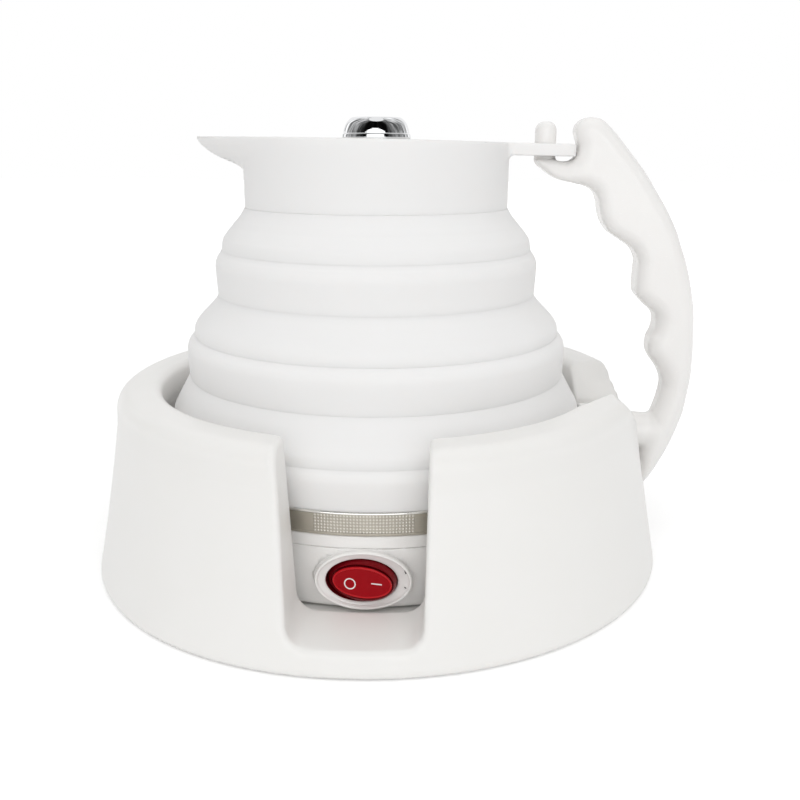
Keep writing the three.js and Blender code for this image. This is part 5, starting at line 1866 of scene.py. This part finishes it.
@dataclass
class Bellows:
    """The silicone bellows: foot band, three folds, two bands, and the neck with lip and tab."""

    fold_wall: float = 1.5
    band_wall: float = 1.9
    crease_sharp: float = 50.0
    steps: int = 180
    # Radius and height of each ring's outer side, from its lower crease to its upper one
    foot_seat: tuple = ((69.0, 31.2), (70.0, 31.2), (70.05, 37.5))
    foot_inner: tuple = ((69.6, 50.45), (68.9, 43.5))
    foot: tuple = (
        (70.9, 37.55), (71.3, 38.1), (71.8, 41.0), (72.3, 44.3), (72.5, 46.6), (72.35, 48.0),
        (72.0, 49.3), (71.5, 50.45))
    lower_fold: tuple = (
        (71.5, 50.45), (71.55, 51.5), (71.5, 52.6), (71.3, 53.8), (70.8, 55.0), (69.9, 56.6),
        (68.9, 58.4), (67.8, 60.4), (66.8, 62.2), (65.95, 63.8), (65.4, 64.85))
    lower_band: tuple = (
        (65.4, 64.85), (65.5, 66.0), (65.65, 68.5), (65.75, 71.0), (65.75, 73.4), (65.65, 75.0),
        (65.25, 76.4), (64.7, 77.3), (64.05, 78.0), (63.4, 78.5), (63.0, 78.85))
    middle_fold: tuple = (
        (63.0, 78.85), (63.1, 79.4), (63.15, 80.1), (63.1, 80.9), (62.9, 81.7), (62.5, 82.6),
        (61.8, 83.7), (60.55, 85.1), (59.25, 86.4), (57.95, 87.7), (56.75, 89.0), (55.65, 90.3),
        (54.95, 91.4), (54.65, 92.3))
    upper_band: tuple = (
        (54.65, 92.3), (54.8, 93.5), (54.9, 95.6), (55.0, 97.6), (55.1, 99.7), (55.2, 101.7),
        (55.1, 102.8), (54.8, 103.9), (54.3, 105.0), (53.75, 105.8), (53.3, 106.5), (52.95, 107.1))
    upper_fold: tuple = (
        (52.95, 107.1), (52.85, 107.9), (52.7, 108.9), (52.5, 110.0), (52.1, 111.1), (51.3, 112.3),
        (50.3, 113.6), (49.15, 114.9), (48.1, 116.2), (46.95, 117.5), (45.95, 118.8), (45.2, 120.0),
        (44.75, 120.9))
    neck_radius: float = 44.6
    neck_wall: float = 1.9
    neck_bottom: float = 120.6
    rim_level: float = 142.95
    rim_fall: float = 0.016
    # Height and reach of the neck's outer side towards the lip
    lip: tuple = (
        (120.0, 44.6), (131.5, 44.6), (133.0, 45.3), (134.8, 47.8), (136.1, 51.0), (137.4, 54.1),
        (138.7, 56.4), (140.0, 58.1), (141.3, 59.7), (142.6, 60.7), (144.0, 61.4))
    lip_tip: float = 2.6
    tab_end: float = 66.0
    tab_half: float = 9.5
    tab_thickness: float = 4.0
    tab_corner: float = 3.0
    tab_fillet: float = 1.8
    tab_core: float = 20.0
    tab_eye: Triple = (56.6, 3.95, 0.35)
    inner_edge: float = 0.3
    rim_edge: float = 0.45
    neck_box: Pair = (-62.0, 144.0)
    facet: float = 0.72

    def ring(self, name: str, side: tuple, wall: float, tree: NodeTree) -> Object:
        """Turns one ring of the bellows from its outer line.

        Args:
            name: the piece's name.
            side: radius and height up its outer side.
            wall: the wall's thickness.
            tree: the tree that turns an outline.

        Returns:
            The ring.
        """
        outer = smooth_line(side, 5)
        inner = [(radius - wall, height) for radius, height in outer]
        base = self.neck_radius
        loop = outer + inner[::-1]
        guide = mesh_object("guide", [(radius - base, -height, 0) for radius, height in loop], [])
        count = len(loop)
        ends = [k for n in range(count) for k in (n, (n + 1) % count)]
        guide.data.edges.add(count)
        guide.data.edges.foreach_set("vertices", ends)
        guide.data.update()
        made = grown(name, tree, {"Outline": guide, "Radius": base * MM, "Steps": self.steps,
                                  "Finish": Finishes.silicone.material()})
        bpy.data.objects.remove(guide)
        return outwards(made, self.crease_sharp)

    def build_rings(self) -> None:
        """Makes the bands, and the folds between them."""
        tree = turning_tree()
        foot = turned("bellows_foot_band", [*self.foot_seat, *smooth_line(self.foot, 5),
                                            *self.foot_inner], self.steps)
        settle(foot, Finishes.silicone, Body.BASE, ("bellows_foot",))
        for name, side, node, body in (
                ("bellows_lower_band", self.lower_band, "lower_band", Body.LOWER),
                ("bellows_upper_band", self.upper_band, "upper_band", Body.UPPER)):
            band = self.ring(name, side, self.band_wall, tree)
            settle(band, None, body, (node,))
        for name, side, node, below, above in (
                ("bellows_lower_fold", self.lower_fold, "lower_fold", Body.BASE, Body.LOWER),
                ("bellows_middle_fold", self.middle_fold, "middle_fold", Body.LOWER, Body.UPPER),
                ("bellows_upper_fold", self.upper_fold, "upper_fold", Body.UPPER, Body.NECK)):
            fold = self.ring(name, side, self.fold_wall, tree)
            settle(fold, None, None, (node,))
            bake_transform(fold)

    def build_neck(self) -> None:
        """Makes the neck, its pouring lip and the tab with the eye in one moulding."""
        heights, reaches = zip(*self.lip)
        eye_x, eye_radius, eye_edge = self.tab_eye

        def solid(x: Grid, y: Grid, z: Grid) -> Grid:
            """Distance to the neck.

            Args:
                x: places across.
                y: places in depth.
                z: heights.

            Returns:
                The distance of each place.
            """
            big, small = self.neck_radius, self.lip_tip
            reach = np.maximum(np.interp(z, heights, reaches) - small, big - small + 1e-4)
            side = np.abs(y)
            lean = (big - small) / reach
            rest = np.sqrt(np.maximum(1 - lean * lean, 0))
            along = -lean * side + rest * -x
            capsule = np.where(along < 0, np.hypot(x, side) - big,
                               np.where(along > rest * reach, np.hypot(-x - reach, side) - small,
                                        side * rest + -x * lean - big))
            top = z - (self.rim_level - self.rim_fall * x)
            tab = meet(side - self.tab_half, x - self.tab_end, self.tab_corner)
            tab = np.maximum(np.maximum(tab, -self.tab_thickness - top), self.tab_core - x)
            body = blend_in(np.maximum(capsule, self.neck_bottom - z), tab, self.tab_fillet)
            body = carve(body, capsule + self.neck_wall, self.inner_edge)
            body = carve(body, np.hypot(x - eye_x, y) - eye_radius, eye_edge)
            return meet(body, top, self.rim_edge)

        left, high = self.neck_box
        neck = sculpted("bellows_neck", solid, (left, -self.neck_radius, self.neck_bottom),
                        (self.tab_end, self.neck_radius, high), self.facet)
        settle(neck, Finishes.silicone, Body.NECK, ("neck", "rim_tab"))

    def build(self) -> None:
        """Builds the whole bellows."""
        self.build_rings()
        self.build_neck()


@dataclass
class Lid:
    """The lid with its seal and chromed knob."""

    radius: float = 42.3
    top: float = 142.2
    plate: float = 3.0
    skirt: Pair = (39.2, 41.0)
    skirt_depth: float = 8.7
    dish: Pair = (36.4, 15.5)
    dish_depth: float = 0.9
    boss_rise: float = 0.2
    slope: float = 1.2
    step: float = 0.2
    seal: tuple = ((40.9, 136.5, 0.2), (42.5, 136.8, 0.3), (42.5, 137.6, 0.3), (40.9, 137.9, 0.2))
    knob_bottom: float = 142.6
    knob_foot: float = 11.65
    knob_top: float = 150.2
    knob_dip: float = 0.5
    # How far in from the knob's foot and how high over its bottom its hem and bowed side pass
    knob_hem: tuple = ((0.8, 2.4, 0), (0.8, 0, 0), (0.1, 0, 0.3), (0, 1.2, 0.5), (0.2, 2.3, 0.4))
    knob_side: tuple = ((0.5, 2.4), (0.65, 3.4), (1.0, 4.6), (1.5, 5.7), (2.3, 6.7))
    # How far in from the knob's foot and how far under its top its crown passes
    knob_crown: tuple = ((3.2, 0.15), (4.0, 0.0), (4.9, 0.1), (6.0, 0.4))

    def build(self, frame: dict) -> None:
        """Builds the lid.

        Args:
            frame: the loaded frame.
        """
        top, under, low = self.top, self.top - self.plate, self.top - self.skirt_depth
        inner, outer = self.skirt
        rim, boss = self.dish
        dip, rise = top - self.dish_depth, top + self.boss_rise
        cap = turned("lid_plate", rounded([
            (0, under, 0), (inner, under, 0.4), (inner, low, 0.4), (outer, low, 0.5),
            (outer, under - self.step, 0.4), (self.radius, under, 0.3), (self.radius, top, 0.9),
            (rim + self.slope, top, 0.8), (rim, dip, 0.8), (boss, dip, 0.8),
            (boss - self.slope, rise, 0.8), (0, rise, 0)], 5))
        settle(cap, Finishes.housing, Body.LID, ("lid_cap",))
        seal = turned("lid_gasket", rounded(self.seal, 4))
        settle(seal, Finishes.silicone, Body.LID, ("lid_seal",))
        low, foot, high = self.knob_bottom, self.knob_foot, self.knob_top
        side = smooth_line([*[(foot - inset, low + up) for inset, up in self.knob_side],
                            *[(foot - inset, high - down) for inset, down in self.knob_crown]], 5)
        hem = rounded([(foot - inset, low + up, corner) for inset, up, corner in self.knob_hem], 5)
        knob = turned("chrome_knob", [(0, low), *hem[1:], *side, (0, high - self.knob_dip)], 128)
        settle(knob, Finishes.chrome, Body.LID, ("lid_knob",))
        dress(frame, {"knob_washer": Finishes.zinc, "knob_screw": Finishes.zinc})


@dataclass
class Handle:
    """The moulded grip with finger scallops, the claw under the tab and the peg through its eye."""

    outline: tuple = (
        (53.6, 136.9), (54.2, 135.6), (55.5, 134.1), (57.6, 132.4), (61.0, 130.6), (66.5, 129.2),
        (70.6, 128.2), (73.3, 126.4), (74.7, 123.6), (75.2, 121.0), (75.9, 118.2), (77.4, 115.2),
        (79.3, 113.0), (82.3, 111.0), (85.2, 109.2), (87.7, 107.0), (89.2, 103.9), (89.2, 100.6),
        (89.1, 97.4), (89.1, 94.6), (89.6, 92.3), (91.2, 90.3), (93.2, 88.3), (95.7, 86.2),
        (96.8, 84.1), (96.9, 82.0), (96.4, 79.6), (95.4, 77.4), (95.0, 75.4), (95.0, 73.2),
        (95.6, 71.1), (96.9, 69.0), (98.5, 66.9), (99.9, 64.6), (101.0, 61.5), (100.9, 58.0),
        (100.0, 53.7), (98.6, 49.2), (96.6, 43.0), (95.6, 37.0), (95.5, 29.5), (95.8, 25.4),
        (96.5, 23.6), (97.2, 23.2), (98.2, 24.2), (99.9, 26.8), (102.0, 30.8), (104.3, 35.6),
        (106.2, 40.3), (107.7, 45.0), (109.1, 50.0), (110.0, 56.1), (110.7, 62.8), (110.8, 67.1),
        (110.6, 73.6), (110.2, 80.0), (109.6, 86.4), (108.3, 92.7), (106.7, 98.9), (104.9, 104.6),
        (103.1, 109.1), (101.6, 113.2), (99.6, 117.2), (97.4, 121.2), (95.0, 125.1), (92.4, 129.1),
        (89.7, 133.0), (86.7, 136.8), (83.5, 140.6), (80.3, 144.4), (76.8, 148.0), (74.2, 149.9),
        (71.2, 150.5), (68.4, 149.9), (66.5, 148.2), (65.9, 146.0), (66.5, 143.6), (67.2, 141.4),
        (67.0, 139.2), (66.1, 137.3), (64.1, 136.3), (61.3, 136.4), (58.7, 136.9))
    half_widths: tuple = (
        (20, 3.2), (22.6, 4.0), (29, 5.2), (37, 6.3), (49, 7.4), (61, 8.2), (80, 8.8), (92, 9.1),
        (106, 9.1), (113, 8.9), (120, 8.7), (126, 8.1), (133, 7.6), (141, 7.3), (151, 7.3))
    rounds: tuple = (
        (20, 2.0), (24, 2.8), (30, 3.8), (40, 5.0), (60, 6.2), (80, 6.0), (100, 4.8), (118, 4.6),
        (140, 5.0), (151, 5.2))
    claw_half: float = 5.6
    claw_round: float = 1.9
    claw_span: Pair = (62.0, 72.0)
    peg: Pair = (56.6, 3.55)
    peg_span: Pair = (134.2, 149.1)
    peg_round: float = 2.9
    peg_fillet: float = 0.8
    pivot: float = 43.0
    stub: Pair = (84.45, 6.6)
    stub_end: float = 101.0
    stub_run: float = 12.0
    stub_taper: float = 0.6
    stub_edge: float = 0.6
    stub_fillet: float = 1.6
    spigot: float = 3.9
    spigot_span: Pair = (72.8, 90.0)
    groove: Triple = (3.0, 75.35, 0.55)
    box: tuple = ((53.0, -10, 21.5), (112.2, 10, 150.8))
    facet: float = 0.66

    def build(self, frame: dict) -> None:
        """Builds the handle.

        Args:
            frame: the loaded frame.
        """
        side = Outline(smooth_line(self.outline, 5, closed=True), step=0.3)
        widths, rounds = np.array(self.half_widths), np.array(self.rounds)
        near, far = self.claw_span
        peg_x, peg_radius = self.peg
        peg_low, peg_top = self.peg_span
        stub_x, stub_radius = self.stub
        spigot_start, spigot_end = self.spigot_span
        groove_radius, groove_x, groove_half = self.groove

        def solid(x: Grid, y: Grid, z: Grid) -> Grid:
            """Distance to the handle.

            Args:
                x: places across.
                y: places in depth.
                z: heights.

            Returns:
                The distance of each place.
            """
            share = eased(np.clip((x - near) / (far - near), 0, 1))
            half = self.claw_half + share * (np.interp(z, *widths.T) - self.claw_half)
            radius = self.claw_round + share * (np.interp(z, *rounds.T) - self.claw_round)
            grip = meet(side(x, z), np.abs(y) - half, radius)
            peg = meet(np.hypot(x - peg_x, y) - peg_radius, np.maximum(peg_low - z, z - peg_top),
                       self.peg_round)
            grip = blend_in(grip, peg, self.peg_fillet)
            around = np.hypot(y, z - self.pivot)
            taper = self.stub_taper * np.clip((x - stub_x) / self.stub_run, 0, 1)
            stub = meet(around - stub_radius + taper, np.maximum(stub_x - x, x - self.stub_end),
                        self.stub_edge)
            grip = blend_in(grip, stub, self.stub_fillet)
            spigot = np.maximum(around - self.spigot, np.maximum(spigot_start - x, x - spigot_end))
            groove = np.maximum(groove_radius - around, np.abs(x - groove_x) - groove_half)
            return np.minimum(grip, np.maximum(spigot, -groove))

        handle = sculpted("moulded_handle", solid, *self.box, self.facet)
        settle(handle, Finishes.housing, Body.HANDLE, ("handle",))
        dress(frame, {"friction_washer": Finishes.acetal, "retaining_clip": Finishes.zinc})


def main() -> None:
    """Builds the scene in order."""
    logging.basicConfig(level=logging.INFO, format="%(name)s: %(message)s")
    bpy.context.scene.view_settings.view_transform = "Standard"
    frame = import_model()
    studio = Studio()
    studio.set_camera()
    studio.build()
    Cradle().build()
    KettleBase().build(frame)
    RockerSwitch().build()
    Bellows().build()
    Lid().build(frame)
    Handle().build(frame)


if __name__ == "__main__":
    main()
